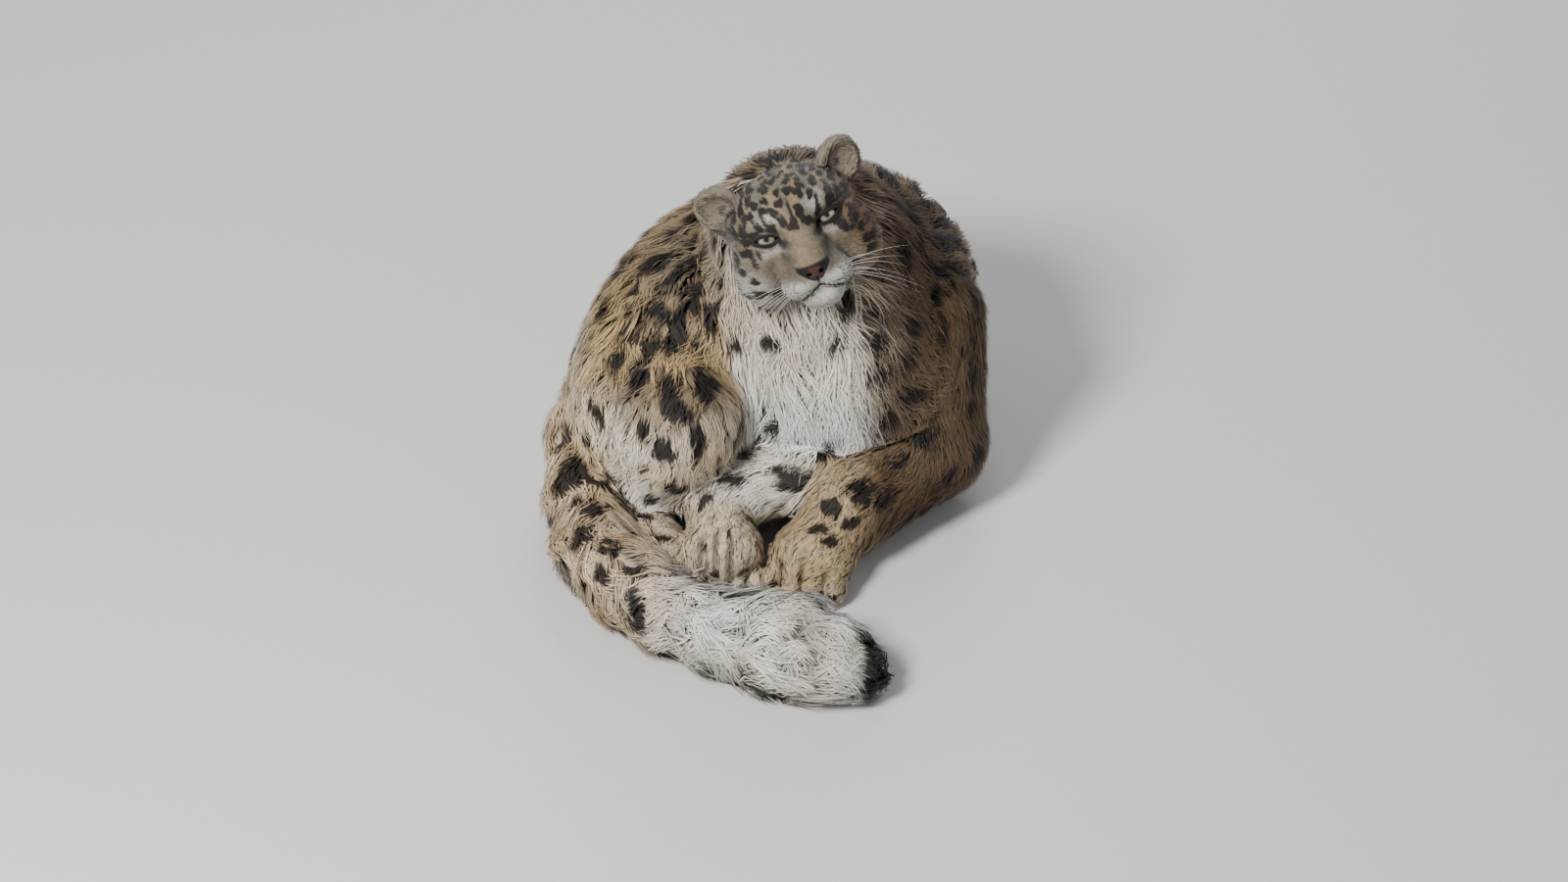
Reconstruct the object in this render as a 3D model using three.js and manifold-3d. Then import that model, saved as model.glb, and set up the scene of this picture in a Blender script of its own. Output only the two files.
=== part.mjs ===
// A snow leopard at rest, life size, as a museum model shows it.
// It lies curled on the floor with its chest and raised head towards the viewer, the left foreleg stretched out,
// the right one folded across the chest, the right hind leg folded beside it and the tail laid round the front.
// Millimetres. +X is the animal's left, +Y runs back from its face, +Z is up, and the floor is Z = 0.
import * as THREE from "three";
import { mergeVertices } from "three/addons/utils/BufferGeometryUtils.js";
import Module from "manifold-3d";

const wasm = await Module();
wasm.setup();

// Driving dimensions. A station is a point of a limb's or the body's centre line and its radius: [x, y, z, r].
const GAP = 0.3;
const FLOOR = 0;
const BODY_STRETCH = 1.15;
const BODY_LINE = [
  [62, 354, 122, 78],
  [88, 415, 180, 116],
  [104, 457, 165, 155],
  [100, 527, 165, 158],
  [36, 545, 160, 150],
  [-40, 497, 155, 140],
  [-88, 432, 150, 129],
  [-118, 380, 138, 112],
];
const NECK_CUT = { through: [70, 330, 252], facing: [0, -0.466, 0.885] };
const CHEST_CUT = { through: [40, 520, 0], facing: [-0.75, 0.66, 0] };
const RUMP_CUT = { through: [-62, 470, 0], facing: [-0.55, -0.83, 0] };
const NECK_LINE = [
  [37, 415, 375, 98],
  [62, 425, 320, 118],
  [85, 435, 260, 132],
];
const THIGH_RIGHT = [
  [-112, 400, 165, 104],
  [-98, 304, 170, 79],
];
const TAIL_LINE = [
  [-160, 440, 135, 62],
  [-198, 378, 90, 56],
  [-202, 300, 60, 54],
  [-190, 215, 54, 53],
  [-156, 146, 52, 52],
  [-104, 94, 48, 48],
  [-38, 58, 50, 50],
  [35, 24, 58, 59],
  [92, 10, 46, 44],
  [128, 6, 34, 24],
];

// Each leg: its parts from the top, the stations they run between, and the foot's middle, toe direction and half sizes.
const LEGS = {
  fore_left: {
    parts: ["upper_arm_left", "forearm_left"],
    stations: [
      [185, 440, 215, 80],
      [203, 382, 80, 60],
      [98, 268, 62, 51],
    ],
    foot: { name: "forepaw_left", at: [62, 212, 40], toes: [-0.3, -0.95], half: [52, 50, 39] },
    limbMesh: { rings: 7, sides: 12 },
    footMesh: { rings: 12, sides: 14 },
  },
  fore_right: {
    parts: ["upper_arm_right", "forearm_right"],
    stations: [
      [0, 425, 190, 50],
      [58, 318, 78, 44],
      [-56, 278, 72, 40],
    ],
    foot: { name: "forepaw_right", at: [-42, 214, 50], toes: [0.12, -0.99], half: [48, 50, 35] },
    limbMesh: { rings: 6, sides: 10 },
    footMesh: { rings: 12, sides: 14 },
  },
  hind_right: {
    parts: ["shank_right"],
    stations: [
      [-102, 304, 130, 60],
      [-158, 300, 50, 42],
    ],
    foot: { name: "hindpaw_right", at: [-116, 218, 34], toes: [0.08, -1], half: [40, 60, 33] },
    limbMesh: { rings: 6, sides: 10 },
    footMesh: { rings: 11, sides: 12 },
  },
  hind_left: {
    parts: ["thigh_left"],
    stations: [
      [-50, 380, 58, 54],
      [-36, 312, 34, 32],
    ],
    foot: { name: "hindpaw_left", at: [-48, 240, 14], toes: [-0.05, -1], half: [34, 56, 14] },
    limbMesh: { rings: 5, sides: 8 },
    footMesh: { rings: 8, sides: 10 },
  },
};
const TOE_COUNT = 4;

// The tail's parts and the stations where each begins and ends.
const TAIL_PARTS = {
  tail_root: [0, 3],
  tail_middle: [3, 5],
  tail_end: [5, 7],
  tail_tip: [7, 9],
};

// The head stands in its own frame, whose origin is midway between the eyes: [forward, up, left].
const HEAD_AT = new THREE.Vector3(44, 311, 450);
const HEAD_TURN = THREE.MathUtils.degToRad(6.2);
const HEAD_RAISE = THREE.MathUtils.degToRad(24);
const HEAD_TILT = THREE.MathUtils.degToRad(19.2);
const EYE = { at: [-10, 0, 38], radius: 17, outward: THREE.MathUtils.degToRad(14) };
const EAR = { at: [-76, 36, 74], half: [17, 33, 28], wall: 4, outward: THREE.MathUtils.degToRad(35) };

// The coat's long locks. depth is how far their tips stand out from the skin, and the solid under them takes half of it.
// half is a lock's half width, grid the rows and columns they grow in, and low the height under which there are none.
const COATS = {
  body: { depth: 32, length: 108, half: 27, rows: 8, columns: 11, low: 40 },
  neck: { depth: 30, length: 90, half: 24, rows: 4, columns: 8, low: 0 },
  thigh: { depth: 24, length: 78, half: 20, rows: 4, columns: 7, low: 45 },
  tail: { depth: 28, length: 90, half: 20, rows: 1.1, columns: 5, low: 20 },
  cheek: { depth: 16, length: 46, half: 12 },
};
const LOCK_STATIONS = [0, 0.34, 0.7];
const LOCK_WIDTHS = [0.75, 1, 0.66];
const LOCK_THICKNESS = [5, 4.4, 3];
const SEED = 31;

const COLOURS = {
  coat: 0xb7a98c,
  pale: 0xe2ddd0,
  eye: 0x8f9a86,
};

// A field gives the distance from a point to a form's outline, negative inside.

function limbField([ax, ay, az, ar], [bx, by, bz, br], stretch = 1) {
  const dx = bx - ax;
  const dy = by - ay;
  const dz = (bz - az) / stretch;
  const length2 = dx * dx + dy * dy + dz * dz;
  return (x, y, z) => {
    const px = x - ax;
    const py = y - ay;
    const pz = (z - az) / stretch;
    const t = Math.min(1, Math.max(0, (px * dx + py * dy + pz * dz) / length2));
    return Math.hypot(px - t * dx, py - t * dy, pz - t * dz) - (ar + t * (br - ar));
  };
}

function blend(a, b, softness) {
  const h = Math.max(softness - Math.abs(a - b), 0) / softness;
  return Math.min(a, b) - (h * h * softness) / 4;
}

function blendAll(fields, softness) {
  return (x, y, z) => fields.reduce((d, field) => blend(d, field(x, y, z), softness), Infinity);
}

function chainField(stations, softness, stretch = 1) {
  const limbs = stations.slice(1).map((station, i) => limbField(stations[i], station, stretch));
  return (x, y, z) => limbs.reduce((d, limb) => (d === null ? limb(x, y, z) : blend(d, limb(x, y, z), softness)), null);
}

function ballField([cx, cy, cz], [rx, ry, rz]) {
  return (x, y, z) => {
    const k0 = Math.hypot((x - cx) / rx, (y - cy) / ry, (z - cz) / rz);
    const k1 = Math.hypot((x - cx) / (rx * rx), (y - cy) / (ry * ry), (z - cz) / (rz * rz));
    return k1 === 0 ? -Math.min(rx, ry, rz) : (k0 * (k0 - 1)) / k1;
  };
}

// A frame of three axes at a point, and a field that is stated in it.
function frameAt(origin, forward, up, left) {
  return {
    point: ([f, u, l]) => origin.clone().addScaledVector(forward, f).addScaledVector(up, u).addScaledVector(left, l),
    direction: ([f, u, l]) => new THREE.Vector3().addScaledVector(forward, f).addScaledVector(up, u).addScaledVector(left, l),
    field: (inner) => (x, y, z) => {
      const px = x - origin.x;
      const py = y - origin.y;
      const pz = z - origin.z;
      return inner(
        px * forward.x + py * forward.y + pz * forward.z,
        px * up.x + py * up.y + pz * up.z,
        px * left.x + py * left.y + pz * left.z,
      );
    },
  };
}

function headFrame() {
  const forward = new THREE.Vector3(
    Math.sin(HEAD_TURN) * Math.cos(HEAD_RAISE),
    -Math.cos(HEAD_TURN) * Math.cos(HEAD_RAISE),
    Math.sin(HEAD_RAISE),
  );
  const level = new THREE.Vector3(Math.cos(HEAD_TURN), Math.sin(HEAD_TURN), 0);
  const upright = new THREE.Vector3().crossVectors(forward, level);
  const left = level.clone().multiplyScalar(Math.cos(HEAD_TILT)).addScaledVector(upright, Math.sin(HEAD_TILT));
  const up = upright.multiplyScalar(Math.cos(HEAD_TILT)).addScaledVector(level, -Math.sin(HEAD_TILT));
  return frameAt(HEAD_AT, forward, up, left);
}

const HEAD = headFrame();

// Solids and meshes.

function randomFrom(seed) {
  let state = seed >>> 0;
  return () => {
    state = (state + 0x6d2b79f5) >>> 0;
    let mixed = Math.imul(state ^ (state >>> 15), 1 | state);
    mixed = (mixed + Math.imul(mixed ^ (mixed >>> 7), 61 | mixed)) ^ mixed;
    return ((mixed ^ (mixed >>> 14)) >>> 0) / 4294967296;
  };
}

const random = randomFrom(SEED);

function slope(field, p) {
  const h = 0.5;
  return new THREE.Vector3(
    field(p.x + h, p.y, p.z) - field(p.x - h, p.y, p.z),
    field(p.x, p.y + h, p.z) - field(p.x, p.y - h, p.z),
    field(p.x, p.y, p.z + h) - field(p.x, p.y, p.z - h),
  ).normalize();
}

// Moves a point along the field's slope until it lies at a level of the field.
function toLevel(field, point, level) {
  const p = point.clone();
  for (let step = 0; step < 6; step++) p.addScaledVector(slope(field, p), level - field(p.x, p.y, p.z));
  return p;
}

function toSolid(geometry) {
  const bare = geometry.clone();
  bare.deleteAttribute("normal");
  bare.deleteAttribute("uv");
  const merged = mergeVertices(bare, 1e-4);
  const mesh = new wasm.Mesh({
    numProp: 3,
    vertProperties: new Float32Array(merged.attributes.position.array),
    triVerts: new Uint32Array(merged.index.array),
  });
  return new wasm.Manifold(mesh);
}

function toGeometry(solid) {
  const mesh = solid.getMesh();
  const geometry = new THREE.BufferGeometry();
  geometry.setAttribute("position", new THREE.BufferAttribute(mesh.vertProperties, 3));
  geometry.setIndex(new THREE.BufferAttribute(mesh.triVerts, 1));
  geometry.computeVertexNormals();
  return geometry;
}

function joined(solids) {
  return solids.reduce((sum, solid) => sum.add(solid));
}

function largest(solid) {
  const pieces = solid.decompose();
  return pieces.reduce((best, piece) => (piece.volume() > best.volume() ? piece : best));
}

// Walks from a point inside a field along a ray to where the field reaches a level.
function reach(field, from, ray, level) {
  let t = 0;
  for (let step = 0; step < 60; step++) {
    const d = level - field(from.x + ray.x * t, from.y + ray.y * t, from.z + ray.z * t);
    if (Math.abs(d) < 0.01) break;
    t += d * 0.85;
  }
  return from.clone().addScaledVector(ray, Math.max(t, 0.5));
}

// A closed skin round a spine: rings of rays from it, with a round cap at each end, each ray as long as the field says.
// Ring and side counts set how fine it is. first and last are the shares of the rings that the two caps take.
function skinRays(spine, { rings, sides, first = 0.3, last = 0.3, upright = new THREE.Vector3(0, 0, 1) }) {
  const points = spine.map(([x, y, z]) => new THREE.Vector3(x, y, z));
  const curve = points.length === 2 ? new THREE.LineCurve3(...points) : new THREE.CatmullRomCurve3(points);
  const rays = [];
  for (let i = 0; i <= rings; i++) {
    const t = i / rings;
    const along = Math.min(1, Math.max(0, (t - first) / (1 - first - last)));
    let polar = Math.PI / 2;
    if (t < first) polar = (t / first) * (Math.PI / 2);
    if (t > 1 - last) polar = Math.PI - ((1 - t) / last) * (Math.PI / 2);
    const at = curve.getPointAt(along);
    const tangent = curve.getTangentAt(along);
    const across = new THREE.Vector3().crossVectors(tangent, upright).normalize();
    const above = new THREE.Vector3().crossVectors(across, tangent);
    const pole = i === 0 || i === rings;
    for (let j = 0; j < (pole ? 1 : sides); j++) {
      const turn = ((j + (i % 2) / 2) / sides) * 2 * Math.PI;
      const ray = tangent.clone().multiplyScalar(-Math.cos(polar));
      ray.addScaledVector(across, Math.sin(polar) * Math.cos(turn));
      ray.addScaledVector(above, Math.sin(polar) * Math.sin(turn));
      rays.push({ at, ray });
    }
  }
  return { rays, rings, sides };
}

function skinSolid(field, { rays, rings, sides }, grow) {
  const positions = rays.flatMap(({ at, ray }) => reach(field, at, ray, grow).toArray());
  const index = [];
  const vertex = (ring, side) => (ring === 0 ? 0 : 1 + (ring - 1) * sides + (side % sides));
  const last = 1 + (rings - 1) * sides;
  for (let j = 0; j < sides; j++) {
    index.push(0, vertex(1, j), vertex(1, j + 1));
    index.push(last, vertex(rings - 1, j + 1), vertex(rings - 1, j));
  }
  for (let i = 1; i < rings - 1; i++) {
    for (let j = 0; j < sides; j++) {
      const shift = i % 2;
      const near = [vertex(i, j), vertex(i, j + 1)];
      const far = [vertex(i + 1, j + shift), vertex(i + 1, j + 1 + shift)];
      index.push(near[0], far[0], near[1], near[1], far[0], far[1]);
    }
  }
  const geometry = new THREE.BufferGeometry();
  geometry.setAttribute("position", new THREE.BufferAttribute(new Float32Array(positions), 3));
  geometry.setIndex(index);
  const solid = toSolid(geometry);
  return solid.volume() > 0 ? solid : toSolid(flipped(geometry));
}

function flipped(geometry) {
  const index = geometry.index.array;
  for (let i = 0; i < index.length; i += 3) [index[i + 1], index[i + 2]] = [index[i + 2], index[i + 1]];
  return geometry;
}

// A lock is a flat blade that leaves the skin, bends along the lie of the coat and tapers to a tip at the outline.
function makeLock(field, root, flow, coat) {
  const up = slope(field, root);
  const lie = flow.clone().addScaledVector(up, -flow.dot(up)).normalize();
  const side = new THREE.Vector3().crossVectors(up, lie);
  lie.applyAxisAngle(up, (random() - 0.5) * 0.7);
  const length = coat.length * (0.8 + 0.4 * random());
  const half = coat.half * (0.85 + 0.3 * random());
  const sway = (random() - 0.5) * half * 1.2;
  const tipLevel = (random() - 0.6) * 5;
  const levels = [-coat.depth / 2 - 9, -coat.depth * 0.3, tipLevel - coat.depth * 0.12, tipLevel];
  const stations = [...LOCK_STATIONS, 1];
  const line = stations.map((s, i) => {
    const p = root.clone().addScaledVector(lie, length * s).addScaledVector(side, sway * Math.sin(Math.PI * s));
    return toLevel(field, p, levels[i]);
  });
  return { line, ups: line.map((p) => slope(field, p)), half };
}

function lockSolid({ line, ups, half }, grow) {
  const positions = [];
  LOCK_STATIONS.forEach((s, i) => {
    const along = line[i + 1].clone().sub(line[Math.max(0, i - 1)]).normalize();
    const across = new THREE.Vector3().crossVectors(along, ups[i]).normalize();
    const rise = new THREE.Vector3().crossVectors(across, along);
    const wide = half * LOCK_WIDTHS[i] + grow * 4;
    const thick = LOCK_THICKNESS[i] + grow * 1.3;
    const corners = [across, rise, across.clone().negate(), rise.clone().negate()];
    const at = line[i].clone().addScaledVector(along, i ? 0 : -grow);
    corners.forEach((corner, k) => positions.push(...at.clone().addScaledVector(corner, k % 2 ? thick : wide).toArray()));
  });
  const end = line.at(-1).clone().sub(line.at(-2)).normalize();
  positions.push(...line.at(-1).clone().addScaledVector(end, grow * 6).toArray());
  const index = [0, 2, 1, 0, 3, 2];
  const rings = LOCK_STATIONS.length;
  for (let i = 0; i < rings; i++) {
    for (let k = 0; k < 4; k++) {
      const [a, b] = [i * 4 + k, i * 4 + ((k + 1) % 4)];
      if (i === rings - 1) index.push(a, b, rings * 4);
      else index.push(a, b, a + 4, b, b + 4, a + 4);
    }
  }
  const geometry = new THREE.BufferGeometry();
  geometry.setAttribute("position", new THREE.BufferAttribute(new Float32Array(positions), 3));
  geometry.setIndex(index);
  const solid = toSolid(geometry);
  return solid.volume() > 0 ? solid : toSolid(flipped(geometry));
}

// Locks in rows over a form, from roots on its core. keep says which roots grow one.
function growLocks(field, spine, coat, flow, keep, caps = {}) {
  const locks = [];
  const grid = { rings: Math.round(coat.rows) + 1, sides: coat.columns, ...caps };
  for (const { at, ray } of skinRays(spine, grid).rays.slice(1, -1)) {
    ray.add(new THREE.Vector3(random() - 0.5, random() - 0.5, random() - 0.5).multiplyScalar(0.3)).normalize();
    const root = reach(field, at, ray, -coat.depth / 2);
    if (root.z > coat.low && keep(root)) locks.push(makeLock(field, root, flow(root), coat));
  }
  return locks;
}

function withLocks(core, locks, grow) {
  return wasm.Manifold.union([core, ...locks.map((lock) => lockSolid(lock, grow))]);
}

// The direction of a line of stations where it passes nearest to a point.
function directionAlong(stations) {
  const points = stations.map(([x, y, z]) => new THREE.Vector3(x, y, z));
  return (p) => {
    let nearest = 0;
    points.slice(0, -1).forEach((point, i) => {
      const here = point.clone().lerp(points[i + 1], 0.5).distanceTo(p);
      const best = points[nearest].clone().lerp(points[nearest + 1], 0.5).distanceTo(p);
      if (here < best) nearest = i;
    });
    return points[nearest + 1].clone().sub(points[nearest]).normalize();
  };
}

// Cuts a solid along a plane and keeps what lies behind it, half the gap short of it.
function trimmed(solid, { through, facing }, grow) {
  const normal = new THREE.Vector3(...facing).normalize();
  const offset = normal.dot(new THREE.Vector3(...through));
  return solid.trimByPlane(normal.negate().toArray(), -offset + GAP / 2 - grow);
}

function turned({ through, facing }) {
  return { through, facing: facing.map((value) => -value) };
}

function isBehind({ through, facing }, p) {
  return (p.x - through[0]) * facing[0] + (p.y - through[1]) * facing[1] + (p.z - through[2]) * facing[2] < 0;
}

// The plane across a line of stations at one of them, which faces along the line.
function crossPlane(stations, i) {
  const points = stations.map(([x, y, z]) => new THREE.Vector3(x, y, z));
  const before = points[i].clone().sub(points[i - 1]).normalize();
  const after = points[i + 1].clone().sub(points[i]).normalize();
  return { through: points[i].toArray(), facing: before.add(after).toArray() };
}

// The parts. Each gives its solid, grown by a clearance where a neighbour is to be cut back from it.

const bodyField = chainField(BODY_LINE, 32, BODY_STRETCH);
const BODY_SPINE = [
  [80, 450, 120],
  [-70, 450, 120],
];
const BODY_CAPS = { first: 0.34, last: 0.34 };
const bodyRays = skinRays(BODY_SPINE, { rings: 16, sides: 17, ...BODY_CAPS });

// The trunk with the neck that rises from it, which one plane parts.
const neckField = chainField(NECK_LINE, 30);
const trunkField = (x, y, z) => blend(bodyField(x, y, z), neckField(x, y, z), 36);

// Behind the forelegs the coat lies back along the body and droops; on the chest it hangs straight down.
function bodyFlow(p) {
  const drape = new THREE.Vector3(0, 0, -1);
  const backwards = directionAlong(BODY_LINE)(p).addScaledVector(drape, 0.7).normalize();
  const chest = THREE.MathUtils.smoothstep(p.x, -60, 20) * THREE.MathUtils.smoothstep(-p.y, -430, -340);
  return backwards.multiplyScalar(1 - chest).addScaledVector(drape, chest + 0.01).normalize();
}

// The body's locks, each in the part where its root lies. Those under the limbs and the neck are left out.
function bodyLocks() {
  const covers = [THIGH_RIGHT, TAIL_LINE, ...Object.values(LEGS).map((leg) => leg.stations)]
    .map((line) => chainField(line, 20));
  const open = (p) => isBehind(NECK_CUT, p) && covers.every((field) => field(p.x, p.y, p.z) > -15);
  const places = { chest: [], loins: [], rump: [] };
  const roots = [];
  const keep = (p) => open(p) && roots.push(p);
  const locks = growLocks(trunkField, BODY_SPINE, COATS.body, bodyFlow, keep, BODY_CAPS);
  locks.forEach((lock, i) => {
    const name = isBehind(CHEST_CUT, roots[i]) ? "chest" : isBehind(RUMP_CUT, roots[i]) ? "loins" : "rump";
    places[name].push(lock);
  });
  return places;
}

const BODY_LOCKS = bodyLocks();

function trunkPart(name, cuts) {
  return (grow) => {
    const core = skinSolid(trunkField, bodyRays, grow - COATS.body.depth / 2);
    const cutCore = [NECK_CUT, ...cuts].reduce((solid, cut) => trimmed(solid, cut, grow), core);
    return withLocks(cutCore, BODY_LOCKS[name], grow);
  };
}

// A part with a coat: a core half the coat's depth inside the outline, its cuts, and the locks that stand on it.
function furredPart(field, spine, { counts, coat, flow, keep = () => true, cuts = [], caps = {} }) {
  const rays = skinRays(spine, counts);
  const kept = (p) => keep(p) && cuts.every((cut) => isBehind(cut, p));
  const locks = growLocks(field, spine, coat, flow, kept, caps);
  return (grow) => {
    const core = skinSolid(field, rays, grow - coat.depth / 2);
    return withLocks(cuts.reduce((solid, cut) => trimmed(solid, cut, grow), core), locks, grow);
  };
}

function footField({ at, toes, half }, wrist) {
  const way = new THREE.Vector3(toes[0], toes[1], 0).normalize();
  const side = new THREE.Vector3(-way.y, way.x, 0);
  const frame = frameAt(new THREE.Vector3(...at), way, new THREE.Vector3(0, 0, 1), side);
  const [wide, long, high] = half;
  const forms = [ballField([0, 0, 0], [long, high, wide])];
  for (let toe = 0; toe < TOE_COUNT; toe++) {
    const across = ((toe + 0.5) / TOE_COUNT - 0.5) * 2;
    const reachOut = long * (0.78 - 0.3 * across * across);
    const low = -at[2] + high * 0.6;
    forms.push(ballField([reachOut, low, across * wide * 0.92], [long * 0.48, high * 0.62, wide * 0.27]));
  }
  const foot = frame.field(blendAll(forms, 9));
  const root = limbField(wrist, [at[0], at[1], at[2] + 4, high * 0.9]);
  return (x, y, z) => blend(foot(x, y, z), root(x, y, z), 16);
}

// A leg is one form, parted by planes across its joints.
function legParts({ parts, stations, foot, limbMesh, footMesh }) {
  const last = stations.at(-1);
  const limbs = chainField(stations, 20);
  const paw = footField(foot, last);
  const field = (x, y, z) => blend(limbs(x, y, z), paw(x, y, z), 10);
  const line = [...stations, foot.at];
  const cuts = stations.slice(1).map((_, i) => crossPlane(line, i + 1));
  const made = parts.map((name, i) => {
    const rays = skinRays(stations.slice(i, i + 2), { ...limbMesh, first: i ? 0.15 : 0.35, last: 0.15 });
    const make = (grow) => {
      const limb = trimmed(skinSolid(field, rays, grow), cuts[i], grow);
      return i ? trimmed(limb, turned(cuts[i - 1]), grow) : limb;
    };
    return [name, COLOURS.coat, make];
  });
  const way = new THREE.Vector3(foot.toes[0], foot.toes[1], 0).normalize();
  const toe = [foot.at[0] + way.x * foot.half[1] * 0.4, foot.at[1] + way.y * foot.half[1] * 0.4, foot.at[2] * 0.8];
  const rays = skinRays([last, foot.at, toe], { ...footMesh, first: 0.08, last: 0.42 });
  const make = (grow) => trimmed(skinSolid(field, rays, grow), turned(cuts.at(-1)), grow);
  return [...made, [foot.name, COLOURS.coat, make]];
}

// The head's forms in its own frame. A form with a sideways place stands on both sides.
const HEAD_FORMS = [
  { at: [-62, 4, 0], half: [84, 52, 74] },
  { at: [-20, 24, 0], half: [38, 28, 44] },
  { at: [4, -40, 0], half: [42, 34, 40] },
  { at: [53, -38, 0], half: [13, 13, 20] },
  { at: [28, -78, 0], half: [25, 15, 26] },
  { at: [-8, 20, 34], half: [20, 12, 25] },
  { at: [-22, -20, 48], half: [40, 30, 31] },
  { at: [35, -54, 21], half: [27, 20, 24] },
  { at: [-32, -46, 50], half: [42, 36, 35] },
];
const NOSE_BRIDGE = [
  [0, 6, 0, 26],
  [46, -31, 0, 22],
];
const JAW = [
  [-44, -48, 0, 42],
  [14, -71, 0, 26],
];
const EYE_HOLLOW = { at: [14, 0, 38], half: [15, 9, 17] };

function bothSides(forms) {
  return forms.flatMap(({ at, half }) => (at[2] ? [1, -1] : [1]).map((side) => ballField([at[0], at[1], at[2] * side], half)));
}

function headField() {
  const forms = blendAll([...bothSides(HEAD_FORMS), limbField(...NOSE_BRIDGE), limbField(...JAW)], 12);
  const hollows = bothSides([EYE_HOLLOW]);
  return HEAD.field((f, u, l) => {
    const carved = hollows.reduce((d, hollow) => -blend(-d, hollow(f, u, l), 10), forms(f, u, l));
    return carved;
  });
}

const HEAD_SPINE = [
  HEAD.point([-58, -4, 0]).toArray(),
  HEAD.point([-8, -30, 0]).toArray(),
];
const HEAD_MESH = { rings: 23, sides: 26, first: 0.24, last: 0.62, upright: HEAD.direction([0, 1, 0]) };
const headRays = skinRays(HEAD_SPINE, HEAD_MESH);
const skullField = headField();

// A bar of round section that follows points of the head, for the mouth line, the lids and the nostrils.
function barAlong(points, radius, steps, sides, closed = false) {
  const curve = new THREE.CatmullRomCurve3(points, closed);
  const section = new THREE.Shape();
  section.absarc(0, 0, radius, 0, 2 * Math.PI);
  const geometry = new THREE.ExtrudeGeometry(section, { steps, extrudePath: curve, curveSegments: sides });
  const solid = toSolid(geometry);
  return solid.volume() > 0 ? solid : toSolid(flipped(mergeVertices(geometry)));
}

const MOUTH = { reach: 46, middle: -59, corner: -72, width: 1.7 };

function mouthPoints() {
  const points = [];
  for (let i = -6; i <= 6; i++) {
    const left = (i / 6) * MOUTH.reach;
    const share = Math.abs(i) / 6;
    const up = THREE.MathUtils.lerp(MOUTH.middle, MOUTH.corner, Math.min(1, share * 1.6)) + 5 * Math.max(0, share - 0.6);
    const inside = HEAD.point([-4, up, left * 0.55]);
    const ray = HEAD.direction([1, 0, (left / MOUTH.reach) * 0.85]).normalize();
    points.push(reach(skullField, inside, ray, -0.6));
  }
  return points;
}

function philtrumPoints() {
  return [-50, -54, MOUTH.middle].map((up) =>
    reach(skullField, HEAD.point([20, up, 0]), HEAD.direction([1, 0, 0]), -0.4),
  );
}

function nostril(side) {
  const points = [
    [57, -40, 7],
    [67, -42, 8],
    [65, -43, 15],
  ].map(([f, u, l]) => HEAD.point([f, u, l * side]));
  return barAlong(points, 3.2, 4, 3);
}

function lidPoints(side, rise, lift) {
  const points = [];
  for (let i = 0; i <= 6; i++) {
    const turn = (i / 6) * Math.PI;
    const across = -Math.cos(turn) * 20;
    const up = rise * Math.sin(turn) + across * 0.1 - 1;
    const out = EYE.at[0] + Math.sqrt(Math.max(0, (EYE.radius + 1.5) ** 2 - across * across * 0.72 - up * up)) + lift;
    points.push(HEAD.point([out - Math.abs(across) * 0.16, up, (EYE.at[2] + across + across * 0.04) * side]));
  }
  return points;
}

function eyeSolid(side, grow) {
  const geometry = new THREE.SphereGeometry(EYE.radius + grow, 12, 8);
  const centre = HEAD.point([EYE.at[0], EYE.at[1], EYE.at[2] * side]);
  geometry.translate(centre.x, centre.y, centre.z);
  return toSolid(geometry);
}

// The ruff on each cheek: two rows of locks that lie back, down and outwards.
const CHEEK_ROWS = [
  { forward: -22, rise: 0.1, count: 3 },
  { forward: -46, rise: 0.35, count: 4 },
];

function cheekLocks() {
  const locks = [];
  for (const side of [1, -1]) {
    for (const { forward, rise, count } of CHEEK_ROWS) {
      for (let i = 0; i < count; i++) {
        const turn = THREE.MathUtils.degToRad(-66 + 25 * i) + rise * 0.2;
        const inside = HEAD.point([forward, -38, 30 * side]);
        const ray = HEAD.direction([0, Math.sin(turn), Math.cos(turn) * side]);
        const root = reach(skullField, inside, ray, -3);
        const flow = HEAD.direction([-0.75, -0.62, 0.35 * side]);
        locks.push(makeLock(skullField, root, flow, COATS.cheek));
      }
    }
  }
  return locks;
}

const CHEEK_LOCKS = cheekLocks();

function headSolid(grow) {
  const lids = [1, -1].flatMap((side) => [
    barAlong(lidPoints(side, 6.5, 0.5), 3 + grow, 6, 2),
    barAlong(lidPoints(side, -7, 0), 2.4 + grow, 6, 2),
  ]);
  const whole = withLocks(joined([skinSolid(skullField, headRays, grow), ...lids]), CHEEK_LOCKS, grow);
  if (grow) return whole;
  const grooves = [
    barAlong(mouthPoints(), MOUTH.width, 12, 2),
    barAlong(philtrumPoints(), 1.4, 3, 2),
    nostril(1),
    nostril(-1),
  ];
  return grooves.reduce((head, groove) => head.subtract(groove), whole);
}

// An ear is a cup: a rounded shell that opens forwards and outwards.
function earSolid(side, grow) {
  const up = HEAD.direction([-0.1, Math.cos(EAR.outward), Math.sin(EAR.outward) * side]).normalize();
  const facing = HEAD.direction([0.9, 0.05, 0.42 * side]);
  const across = new THREE.Vector3().crossVectors(up, facing).normalize();
  const out = new THREE.Vector3().crossVectors(across, up).normalize();
  const centre = HEAD.point([EAR.at[0], EAR.at[1], EAR.at[2] * side]);
  const shell = (shrink, forward) => {
    const geometry = new THREE.SphereGeometry(1, 12, 8);
    const [deep, high, wide] = EAR.half.map((half) => half - shrink + grow);
    geometry.applyMatrix4(new THREE.Matrix4().makeScale(wide, high, deep));
    geometry.applyMatrix4(new THREE.Matrix4().makeBasis(across, up, out));
    const place = centre.clone().addScaledVector(out, forward);
    geometry.translate(place.x, place.y, place.z);
    return toSolid(geometry);
  };
  const cup = shell(0, 0);
  return grow ? cup : cup.subtract(shell(EAR.wall, EAR.half[0] * 0.75));
}

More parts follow.
